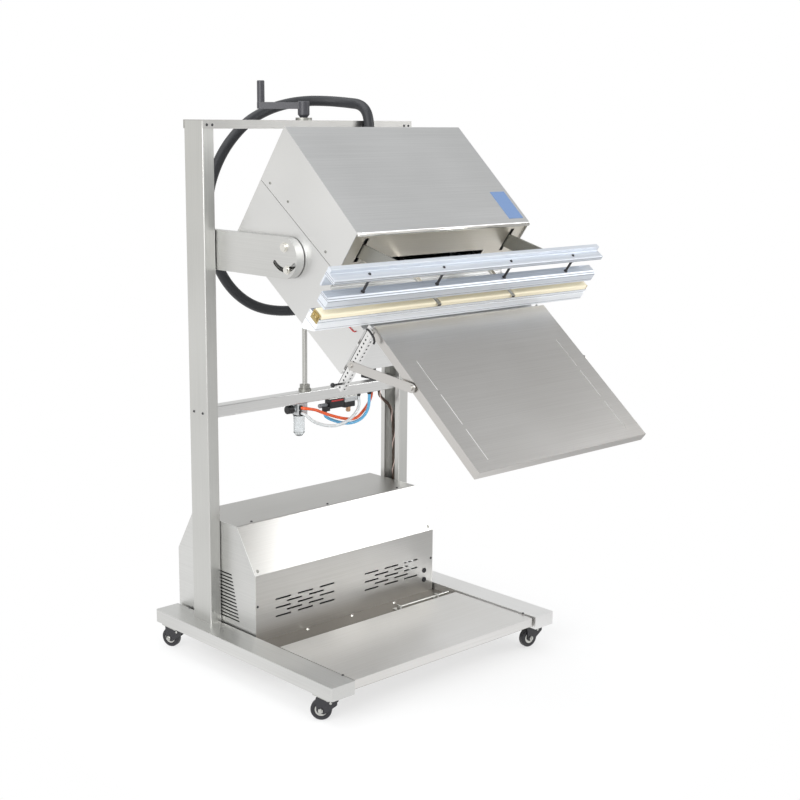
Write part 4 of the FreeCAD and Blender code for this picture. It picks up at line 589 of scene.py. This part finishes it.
class HoseSettings(bpy.types.PropertyGroup):
    radius: bpy.props.FloatProperty(
        name="Radius", description="Outside radius of the vacuum hose", default=0.0165,
        unit="LENGTH")
    rib: bpy.props.FloatProperty(
        name="Rib spacing", description="Distance between the hose's spiral ribs",
        default=0.006, unit="LENGTH")


class ScrewSettings(bpy.types.PropertyGroup):
    radius: bpy.props.FloatProperty(
        name="Head radius", description="Radius of the sheet screws' heads", default=0.0042,
        unit="LENGTH")
    height: bpy.props.FloatProperty(
        name="Head height", description="Height of the sheet screws' heads", default=0.0022,
        unit="LENGTH")


# Operators

class SEALER_OT_stage(bpy.types.Operator):
    """Camera at the photograph's angle, a pale floor and soft studio light"""
    bl_idname = "sealer.stage"
    bl_label = "Studio and camera"

    def execute(self, context):
        settings = context.scene.sealer_stage
        scene = context.scene
        scene.view_settings.view_transform = "Standard"
        camera = bpy.data.cameras.new("camera")
        camera.lens = settings.lens
        camera.sensor_width = 36.0
        camera.clip_end = 50.0
        holder = bpy.data.objects.new("camera", camera)
        scene.collection.objects.link(holder)
        scene.camera = holder
        azimuth, elevation = math.radians(CAMERA_AZIMUTH), math.radians(CAMERA_ELEVATION)
        aim = Vector((-math.sin(azimuth) * math.cos(elevation),
                      math.cos(azimuth) * math.cos(elevation), -math.sin(elevation)))
        right = aim.cross(Vector((0, 0, 1))).normalized()
        upward = right.cross(aim)
        cosine, sine = math.cos(CAMERA_ROLL), math.sin(CAMERA_ROLL)
        right, upward = right * cosine + upward * sine, upward * cosine - right * sine
        turn = Matrix((right, upward, -aim)).transposed().to_4x4()
        holder.matrix_world = Matrix.Translation(at(*CAMERA_PLACE)) @ turn

        work = bmesh.new()
        bmesh.ops.create_grid(work, x_segments=1, y_segments=1, size=14.0)
        mesh = bpy.data.meshes.new("floor")
        work.to_mesh(mesh)
        work.free()
        floor = bpy.data.objects.new("floor", mesh)
        scene.collection.objects.link(floor)
        material, tree, shader = new_material("matt studio floor", Roughness=0.9)
        shader.inputs["Base Color"].default_value = settings.floor_colour
        place = add(tree, "ShaderNodeTexCoord").outputs["Object"]
        grain = add(tree, "ShaderNodeTexNoise", {"Vector": place}, Scale=300.0)
        bump = add(tree, "ShaderNodeBump", {"Height": grain.outputs[0]}, Strength=0.02,
                   Distance=0.0005)
        tree.links.new(bump.outputs[0], shader.inputs["Normal"])
        # Seen straight, the floor fades to plain white away from the machine
        away = add(tree, "ShaderNodeVectorMath", {0: place}, operation="LENGTH")
        fade = add(tree, "ShaderNodeMapRange", {
            "Value": away.outputs["Value"], "From Min": 0.5, "From Max": 1.1, "To Min": 0.6,
            "To Max": 1.0}, interpolation_type="SMOOTHSTEP")
        path = add(tree, "ShaderNodeLightPath")
        seen = add(tree, "ShaderNodeMath", {0: path.outputs["Is Camera Ray"],
                                            1: fade.outputs[0]}, operation="MULTIPLY")
        share = add(tree, "ShaderNodeMath", {0: path.outputs["Is Glossy Ray"],
                                             1: seen.outputs[0]}, operation="MAXIMUM")
        # Mirrored in the steel, the floor has the grey bands of a studio towards the front right
        ahead = add(tree, "ShaderNodeVectorMath", {0: place, 1: BANDS_WAY},
                    operation="DOT_PRODUCT")
        tenth = add(tree, "ShaderNodeMath", {0: ahead.outputs["Value"], 1: 0.1},
                    operation="MULTIPLY")
        bands = add(tree, "ShaderNodeValToRGB", {"Fac": tenth.outputs[0]},
                    stops=((0.06, "FFFFFF"), (0.1, "D2D2D2"), (0.17, "DEDEDE"),
                           (0.3, "FFFFFF"), (0.45, "FFFFFF"), (0.8, "BEBEBE")))
        tone = add(tree, "ShaderNodeMix", {0: path.outputs["Is Glossy Ray"], 6: (1, 1, 1, 1),
                                           7: bands.outputs[0]}, data_type="RGBA")
        white = add(tree, "ShaderNodeEmission", {"Color": tone.outputs[2]}, Strength=1.0)
        blend = add(tree, "ShaderNodeMixShader", {0: share.outputs[0], 1: shader.outputs[0],
                                                  2: white.outputs[0]})
        tree.links.new(blend.outputs[0], tree.nodes["Material Output"].inputs[0])
        mesh.materials.append(material)

        world = bpy.data.worlds.new("studio")
        scene.world = world
        world.use_nodes = True
        tree = world.node_tree
        tree.nodes.clear()
        way = add(tree, "ShaderNodeTexCoord").outputs["Generated"]
        split = add(tree, "ShaderNodeSeparateXYZ", {0: way})
        height = add(tree, "ShaderNodeMapRange", {"Value": split.outputs["Z"], "From Min": -0.25,
                                                  "From Max": 0.95})
        band = add(tree, "ShaderNodeValToRGB", {"Fac": height.outputs[0]},
                   stops=((0.0, "FBFAF8"), (0.22, "F6F5F2"), (0.36, "DCDCDA"), (0.7, "F2F3F4"),
                          (1.0, "E8EAEC")))
        # A grey flag high on the right, which the head's cover and the tray mirror
        facing = add(tree, "ShaderNodeVectorMath", {0: way, 1: FLAG_WAY},
                     operation="DOT_PRODUCT")
        flag = add(tree, "ShaderNodeMapRange", {
            "Value": facing.outputs["Value"], "From Min": math.cos(math.radians(30)),
            "From Max": math.cos(math.radians(14)), "To Min": 1.0, "To Max": 0.62},
            interpolation_type="SMOOTHSTEP")
        # A grey wall low at the front right, which upright fronts above eye height mirror
        level = add(tree, "ShaderNodeVectorMath", {0: way, 1: BANDS_WAY},
                    operation="DOT_PRODUCT")
        wall = add(tree, "ShaderNodeMapRange", {
            "Value": level.outputs["Value"], "From Min": math.cos(math.radians(33)),
            "From Max": math.cos(math.radians(15)), "To Min": 1.0, "To Max": 0.52},
            interpolation_type="SMOOTHSTEP")
        strength = add(tree, "ShaderNodeMath", {0: flag.outputs[0], 1: wall.outputs[0]},
                       operation="MULTIPLY")
        around = add(tree, "ShaderNodeBackground", {"Color": band.outputs[0],
                                                    "Strength": strength.outputs[0]})
        white = add(tree, "ShaderNodeBackground", Color=(1, 1, 1, 1), Strength=1.0)
        path = add(tree, "ShaderNodeLightPath")
        final = add(tree, "ShaderNodeMixShader", {0: path.outputs["Is Camera Ray"],
                                                  1: around.outputs[0], 2: white.outputs[0]})
        add(tree, "ShaderNodeOutputWorld", {"Surface": final.outputs[0]})

        lights = (("left key", (-3.6, -1.2, 2.6), (0, 0.3, 1.0), 3.2, settings.key_power),
                  ("right fill", (3.0, -2.4, 2.7), (0, 0, 0.4), 1.6, settings.key_power * 0.4),
                  ("top", (-0.6, 0.9, 4.4), (0, 0, 0.8), 3.0, settings.key_power * 0.4))
        for name, place, target, size, power in lights:
            light = bpy.data.lights.new(name, "AREA")
            light.size = size
            light.energy = power
            lamp = bpy.data.objects.new(name, light)
            scene.collection.objects.link(lamp)
            lamp.location = place
            way = Vector(target) - Vector(place)
            lamp.rotation_euler = way.to_track_quat("-Z", "Y").to_euler()
        return {"FINISHED"}


class SEALER_OT_finishes(bpy.types.Operator):
    """Gives every CAD piece its finish"""
    bl_idname = "sealer.finishes"
    bl_label = "Finishes"

    def execute(self, context):
        make_materials()
        for node, key in FINISHES.items():
            self.paint(node, key)
        for corner in CASTERS:
            self.paint("caster_fork_" + corner, "black_steel")
            self.paint("caster_wheel_" + corner, "tread")
        return {"FINISHED"}

    def paint(self, node, key):
        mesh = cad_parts[node].data
        mesh.materials.clear()
        mesh.materials.append(MATERIALS[key])


class SEALER_OT_hose(bpy.types.Operator):
    """The ribbed vacuum hose: the loop behind the frame and the tail down to the carriage"""
    bl_idname = "sealer.hose"
    bl_label = "Vacuum hose"

    # The loop's route, from the elbow on the lower beam to the clip on the top beam
    ROUTE = ((315, 42, 815), (315, 42, 900), (275, 80, 985), (180, 135, 1018), (40, 163, 1008),
             (-90, 163, 1040), (-190, 163, 1125), (-246, 163, 1255), (-248, 163, 1395),
             (-195, 163, 1515), (-105, 163, 1605), (-20, 163, 1646), (55, 160, 1667),
             (125, 140, 1678), (180, 98, 1678), (210, 40, 1673), (217, -25, 1667),
             (205, -72, 1626), (205, -72, 1565))
    TAIL = ((205, -72, 1565), (205, -72, 1300))
    RIB_DEPTH = 0.55

    def execute(self, context):
        settings = context.scene.sealer_hose
        route = [at(*point) for point in self.ROUTE]
        line = evenly(smooth_line(route), settings.rib / 3)
        loop = mesh_piece("vacuum_hose_loop", self.ribbed("vacuum hose loop", line, settings),
                          "hose", "frame")
        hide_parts("hose_loop")
        ends = [at(*point) for point in self.TAIL]
        tail_line = evenly(ends, settings.rib / 3)
        tail = mesh_piece("vacuum_hose_tail", self.ribbed("vacuum hose tail", tail_line, settings),
                          "hose", None)
        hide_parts("hose_tail")
        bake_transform(tail)
        return {"FINISHED"}

    def ribbed(self, name, line, settings):
        """A tube with three points to each rib. The ribs stand proud of the wall by RIB_DEPTH."""
        outside = settings.radius * 1000
        radii = [outside - self.RIB_DEPTH * (1 - math.cos(math.tau * index / 3)) / 1.5
                 for index in range(len(line))]
        return tube_mesh(name, line, radii)


class SEALER_OT_tubes(bpy.types.Operator):
    """The coloured air tubes under the lower beam and the wires down the right post"""
    bl_idname = "sealer.tubes"
    bl_label = "Air tubes and wires"

    ROUTES = {
        "tube_orange": ((-34, -20, 732), (-34, -30, 732), (-26, -38, 731), (-12, -42, 728),
                        (12, -40, 722), (43, -34, 708), (98, -32, 687), (146, -30, 672),
                        (199, -20, 664), (246, 0, 678), (276, 6, 700), (290, 8, 722),
                        (292, 8, 733), (292, 8, 744)),
        "tube_blue": ((68, -16, 705), (68, -16, 695), (75, -16, 686), (91, -16, 677),
                      (125, -16, 663), (168, -16, 651), (211, -16, 654), (240, -16, 668),
                      (257, -16, 692), (262, -14, 718), (262, -14, 744)),
        "tube_clear": ((-34, -20, 716), (-34, -31, 716), (-30, -39, 711), (-20, -44, 701),
                       (-2, -46, 686), (36, -47, 670), (80, -48, 661), (124, -47, 664),
                       (160, -44, 677), (188, -37, 694), (208, -27, 712), (213, -15, 730),
                       (213, -15, 744)),
    }
    TUBE_RADIUS = 5.0
    HARNESS = ((318, 0, 744), (318, 0, 732), (326, 0, 717), (344, 0, 702), (364, 1, 686),
               (380, 2, 660), (385, 2, 620), (388, 1, 560), (385, -2, 480), (389, 2, 390),
               (386, 0, 300), (388.5, 0, 220), (388, 0, 160), (388, 0, 115))
    HARNESS_RADIUS = 5.5
    TWIST_LENGTH = 0.09
    STRANDS = (3.0, 2.9, 2.8, 1.5)
    STRAND_SIDES = 10

    def execute(self, context):
        for node, points in self.ROUTES.items():
            key = node.split("_")[1]
            route = [at(*point) for point in points]
            curve = route_curve(key + " air tube", route, self.TUBE_RADIUS)
            curve.materials.append(MATERIALS[key])
            piece = bpy.data.objects.new("air_" + node, curve)
            context.scene.collection.objects.link(piece)
            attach(piece, "frame")
            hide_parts(node)
            line_length(smooth_line(route))
        route = [at(*point) for point in self.HARNESS]
        line = evenly(smooth_line(route), 0.004)
        work = bmesh.new()
        for strand, radius in enumerate(self.STRANDS):
            path = self.twisted(line, math.tau * strand / len(self.STRANDS),
                                self.HARNESS_RADIUS - radius)
            add_tube(work, path, [radius] * len(path), self.STRAND_SIDES)
        mesh = to_mesh("wires", work)
        wires = mesh_piece("twisted_wires", mesh, "wires", "frame")
        # The last strand is the pale one
        mesh.materials.append(MATERIALS["pink"])
        strand_faces = (len(line) - 1) * self.STRAND_SIDES + 2
        for polygon in mesh.polygons[(len(self.STRANDS) - 1) * strand_faces:]:
            polygon.material_index = 1
        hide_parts("wire_harness")
        return {"FINISHED"}

    def twisted(self, line, phase, offset):
        """A strand's own line, wound round the middle of the bundle."""
        places = []
        travelled = 0.0
        side = (line[1] - line[0]).orthogonal().normalized()
        for index, point in enumerate(line):
            before, after = line[max(index - 1, 0)], line[min(index + 1, len(line) - 1)]
            way = (after - before).normalized()
            side = (side - way * side.dot(way)).normalized()
            angle = phase + math.tau * travelled / self.TWIST_LENGTH
            places.append(point + (side * math.cos(angle) + way.cross(side) * math.sin(angle))
                          * offset / 1000)
            if index + 1 < len(line):
                travelled += (line[index + 1] - point).length
        return places


class SEALER_OT_air_details(bpy.types.Operator):
    """The valves with their silencer and fittings, and the rings round the tubes' ends"""
    bl_idname = "sealer.air_details"
    bl_label = "Valves and fittings"

    def execute(self, context):
        plate = add_block_piece("valve_plate", (88, -20, 741), (204, 10, 744), "plated", 0.6)
        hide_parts("solenoid_valves")
        add_block_piece("valve_coil_left", (88, -22, 711), (146, 8, 741), "black", 3.5, 3)
        add_block_piece("valve_edge_strip", (92, -22.4, 733.5), (143, -21, 738.5), "red", 0.5)
        work = bmesh.new()
        add_block(work, at, (150, -20, 725), (204, 8, 741))
        for x in (156, 198):
            add_turned(work, at(x, -20, 733), (0, -1, 0),
                       ((-0.5, 0), (-0.5, 3.2), (1.6, 3.2), (1.6, 0)), 12)
        soften(from_bmesh("valve_head_right", work, "cast", "frame"), 0.8)
        add_block_piece("valve_coil_right", (150, -18, 706), (198, 4, 725), "black", 3.5, 3)
        work = bmesh.new()
        add_turned(work, at(175, -8, 706.2), (0, 0, -1),
                   ((0, 0), (0, 8), (4, 8), (4.6, 7), (7.4, 7), (8, 8), (12, 8), (16, 6), (16, 0)),
                   24)
        from_bmesh("valve_drain", work, "tan", "frame")
        # The silencer's ribs: a wide ring and a narrow neck each
        profile = [(0, 0), (0, 5.2), (4, 5.2)]
        for step in range(9):
            start = 4.5 + 3.2 * step
            profile += [(start, 7), (start + 1.8, 7), (start + 2.2, 5.9), (start + 3.0, 5.9)]
        profile += [(34, 5), (34, 0)]
        work = bmesh.new()
        add_turned(work, at(88, -4, 722), (-1, 0, 0), profile, 24)
        from_bmesh("silencer", work, "grey", "frame")
        add_block_piece("tube_tee", (60, -21, 705), (88, -11.5, 719), "black", 1.2)
        work = bmesh.new()
        ring = ((0.1, 5.1), (0.1, 7.4), (3.2, 7.4), (4.2, 6.6), (6.5, 6.2), (6.5, 5.1))
        for place, way in ((at(-34, -20, 732), (0, -1, 0)), (at(-34, -20, 716), (0, -1, 0)),
                           (at(68, -16, 705), (0, 0, -1)), (at(292, 8, 744), (0, 0, -1)),
                           (at(262, -14, 744), (0, 0, -1)), (at(213, -15, 744), (0, 0, -1))):
            add_turned(work, place, way, ring + ring[:1], 24, False)
        from_bmesh("tube_collars", work, "black", "frame", True)
        work = bmesh.new()
        band = ((0.2, 18.1), (0.2, 19.4), (4.6, 19.4), (4.6, 18.1))
        add_turned(work, at(-24, 0, 708), (0, 0, -1), band + band[:1], 40, False)
        from_bmesh("bowl_band", work, "black", "frame", True)
        return {"FINISHED"}


class SEALER_OT_caster_details(bpy.types.Operator):
    """Bright hub rings in the wheels, axle nuts and the bolts that hold the casters' plates"""
    bl_idname = "sealer.caster_details"
    bl_label = "Caster details"

    def execute(self, context):
        for corner, (x, y, heading) in CASTERS.items():
            cosine, sine = math.cos(math.radians(heading)), math.sin(math.radians(heading))

            def on_caster(across, along, z):
                return at(x + across * cosine - along * sine, y + across * sine + along * cosine, z)
            axle = on_caster(1, 0, 0) - on_caster(0, 0, 0)
            rings, nuts = bmesh.new(), bmesh.new()
            for side in (-1, 1):
                face = ((0, 8.6), (0, 17.5), (1.6, 18.2), (2.6, 17.2), (2.2, 12), (2.8, 8.6))
                add_turned(rings, on_caster(side * 7.05, 22, 30), axle * side, face + face[:1],
                           32, False)
                add_turned(nuts, on_caster(side * 14.6, 22, 30), axle * side,
                           ((0, 0), (0, 7.5), (4, 7.5), (5, 6.4), (5, 4), (7, 3.6), (7, 0)), 6)
                for along, z in ((-12, 62), (2, 62), (-6, 53)):
                    add_turned(nuts, on_caster(side * 14.4, along, z), axle * side,
                               ((0, 0), (0, 4), (1.4, 3.6), (2.2, 2), (2.4, 0)), 16)
            from_bmesh("hub_rings_" + corner, rings, "plated", "wheel_" + corner, True)
            from_bmesh("axle_nuts_" + corner, nuts, "plated", "fork_" + corner)
        work = bmesh.new()
        for x, y, heading in CASTERS.values():
            for across in (-27, 27):
                for along in (-27, 27):
                    add_turned(work, at(x + across, y + along, 72.9), (0, 0, -1),
                               ((0, 0), (0, 5.5), (3.4, 5.5), (3.4, 2.9), (4.8, 2.7), (4.8, 0)), 6)
        from_bmesh("caster_bolts", work, "plated", "frame")
        return {"FINISHED"}


class SEALER_OT_screws(bpy.types.Operator):
    """The small screws in the frame, box, head and jaws"""
    bl_idname = "sealer.screws"
    bl_label = "Screws"

    def execute(self, context):
        settings = context.scene.sealer_screws
        radius, height = settings.radius * 1000, settings.height * 1000
        front, right, left, top = (0, -1, 0), (1, 0, 0), (-1, 0, 0), (0, 0, 1)
        frame_places = []
        for side in (-1, 1):
            outward = right if side > 0 else left
            frame_places += [(at(side * 408, y, 765), outward) for y in (-22, 22)]
            frame_places += [(at(side * x, -48, 1603), front) for x in (375, 394)]
            frame_places += [(at(side * 359, -213.5, 203), front),
                             (at(side * 372, -613, 115), top),
                             (at(side * 372, 118, 115), top)]
        slant = Vector((0, -133.5, 89)).normalized()
        frame_places += [(at(x, -110, 432), top) for x in (-300, 0, 300)]
        screws("frame_screws", "frame", frame_places, radius, height, "black_steel")
        slant_places = [(at(x, -205.2, 310), (0, slant.y, slant.z)) for x in (-352, 352)]
        screws("slant_screws", "frame", slant_places, radius * 1.4, height, "nut_metal")
        deck_places = [(at(x, -229, 93), top) for x in (-180, 0, 180)]
        screws("deck_screws", "frame", deck_places, radius * 1.3, height * 1.6, "bright")
        head_places = []
        for side in (-1, 1):
            for w, v in ((131, 233), (333, 225), (40, 225)):
                head_places.append((head_at(side * 337, w, v), (side, 0, 0)))
        screws("head_screws", "head", head_places, radius, height, "nut_metal")
        jaw_places = [(head_at(x, 551, 341), head_way(0, 0, 1)) for x in STUDS_X]
        screws("carrier_bar_screws", "upper_jaw", jaw_places, 4.6, 3.0, "black_steel")
        return {"FINISHED"}


class SEALER_OT_jaw_details(bpy.types.Operator):
    """Spacer studs between the bars and ribbon clamps on the ends of the lower jaw"""
    bl_idname = "sealer.jaw_details"
    bl_label = "Jaw details"

    def execute(self, context):
        work = bmesh.new()
        for x in STUDS_X:
            add_turned(work, head_at(x, 558, 287), head_way(0, 0, 1),
                       ((0.1, 0), (0.1, 5.6), (3, 5.6), (3, 3.5), (38, 3.5), (38, 5.6),
                        (40.9, 5.6), (40.9, 0)), 24)
        soften(from_bmesh("jaw_studs", work, "black_steel", "upper_jaw"), 0.3)
        work = bmesh.new()
        for side in (-1, 1):
            add_head_blocks(work, side, (((522.1, 546, 206), (524.6, 575, 233)),
                                         ((524.6, 550, 214), (527.2, 571, 229))))
            for w in (555, 566):
                add_turned(work, head_at(side * 527.2, w, 221.5), (side, 0, 0),
                           ((0, 0), (0, 3.6), (1.6, 3.4), (2.4, 2.2), (2.4, 0)), 16)
        soften(from_bmesh("ribbon_clamps", work, "brass", "head"), 0.6)
        return {"FINISHED"}


class SEALER_OT_head_details(bpy.types.Operator):
    """The rolled front hem of the cover and the plain membrane beside it"""
    bl_idname = "sealer.head_details"
    bl_label = "Head details"

    def execute(self, context):
        line = [head_at(x, 404.2, 341.5) for x in (-334, 0, 334)]
        mesh = tube_mesh("rolled hem", line, [4.6, 4.6, 4.6], 24)
        mesh_piece("rolled_hem", mesh, "bright", "head")
        slope = math.atan2(389 - 346.5, 403)

        def on_top(x, w, lift):
            return head_at(x, w + lift * math.sin(slope), 389 - w * math.tan(slope)
                           + lift * math.cos(slope))
        work = bmesh.new()
        add_block(work, on_top, (264, 276, 0.1), (324, 384, 0.7))
        soften(from_bmesh("plain_membrane", work, "membrane", "head"), 0.3)
        return {"FINISHED"}


class SEALER_OT_box_details(bpy.types.Operator):
    """Two plain plugs in the front of the box"""
    bl_idname = "sealer.box_details"
    bl_label = "Box details"

    def execute(self, context):
        work = bmesh.new()
        for z in (135, 166.5):
            add_turned(work, at(329, -213.4, z), (0, -1, 0),
                       ((0, 0), (0, 8.5), (1.6, 8.5), (2.6, 7.6), (2.6, 4), (1.4, 3.4), (1.4, 0)))
        from_bmesh("box_plugs", work, "black", "frame")
        return {"FINISHED"}


class SEALER_OT_strut_details(bpy.types.Operator):
    """Black strips of painted shade inside the struts behind their holes, and a cable hook and a
    wire end beside the left one
    """
    bl_idname = "sealer.strut_details"
    bl_label = "Strut details"

    def execute(self, context):
        work = bmesh.new()
        # Thin black strips put where the insides of the struts are in shade: painted shade behind
        # the holes
        for side in (-1, 1):
            add_head_blocks(work, side, (((336.1, 586, -35), (336.8, 602.6, 148)),
                                         ((320, 602.1, -35), (336.8, 602.7, 148)),
                                         ((337.1, 583.1, -30), (338.9, 584.9, 174))))
        from_bmesh("strut_shade_strips", work, "black", "head")
        hook = [head_at(-348, w, v) for w, v in ((588, 178), (592, 181), (600, 182), (612, 181),
                                                  (622, 179), (630, 173), (631, 166))]
        mesh_piece("cable_hook", tube_mesh("hook", hook, [3.0] * len(hook), 12), "black", "head")
        stub = [head_at(-338.6, w, v) for w, v in ((524, 128), (534, 129), (543, 129), (549, 132),
                                                    (552, 137))]
        mesh_piece("wire_end", tube_mesh("wire end", stub, [1.5] * len(stub), 10), "red", "head")
        return {"FINISHED"}


class SEALER_PT_panel(bpy.types.Panel):
    """Settings and steps of the sealer"""
    bl_label = "Vacuum sealer"
    bl_idname = "SEALER_PT_panel"
    bl_space_type = "VIEW_3D"
    bl_region_type = "UI"
    bl_category = "Sealer"

    def draw(self, context):
        for group in (context.scene.sealer_stage, context.scene.sealer_hose,
                      context.scene.sealer_screws):
            for name in group.__annotations__:
                self.layout.prop(group, name)
        for operator in OPERATORS:
            self.layout.operator(operator.bl_idname)


GROUPS = (("sealer_stage", StageSettings), ("sealer_hose", HoseSettings),
          ("sealer_screws", ScrewSettings))
OPERATORS = (SEALER_OT_stage, SEALER_OT_finishes, SEALER_OT_hose, SEALER_OT_tubes,
             SEALER_OT_air_details, SEALER_OT_caster_details, SEALER_OT_screws,
             SEALER_OT_jaw_details, SEALER_OT_head_details, SEALER_OT_box_details,
             SEALER_OT_strut_details)


def register():
    for name, group in GROUPS:
        bpy.utils.register_class(group)
        setattr(bpy.types.Scene, name, bpy.props.PointerProperty(type=group))
    for operator in OPERATORS:
        bpy.utils.register_class(operator)
    bpy.utils.register_class(SEALER_PT_panel)


def unregister():
    bpy.utils.unregister_class(SEALER_PT_panel)
    for operator in reversed(OPERATORS):
        bpy.utils.unregister_class(operator)
    for name, group in GROUPS:
        delattr(bpy.types.Scene, name)
        bpy.utils.unregister_class(group)


def main():
    register()
    for operator in OPERATORS:
        getattr(bpy.ops.sealer, operator.bl_idname.split(".")[1])()


if __name__ == "__main__":
    main()
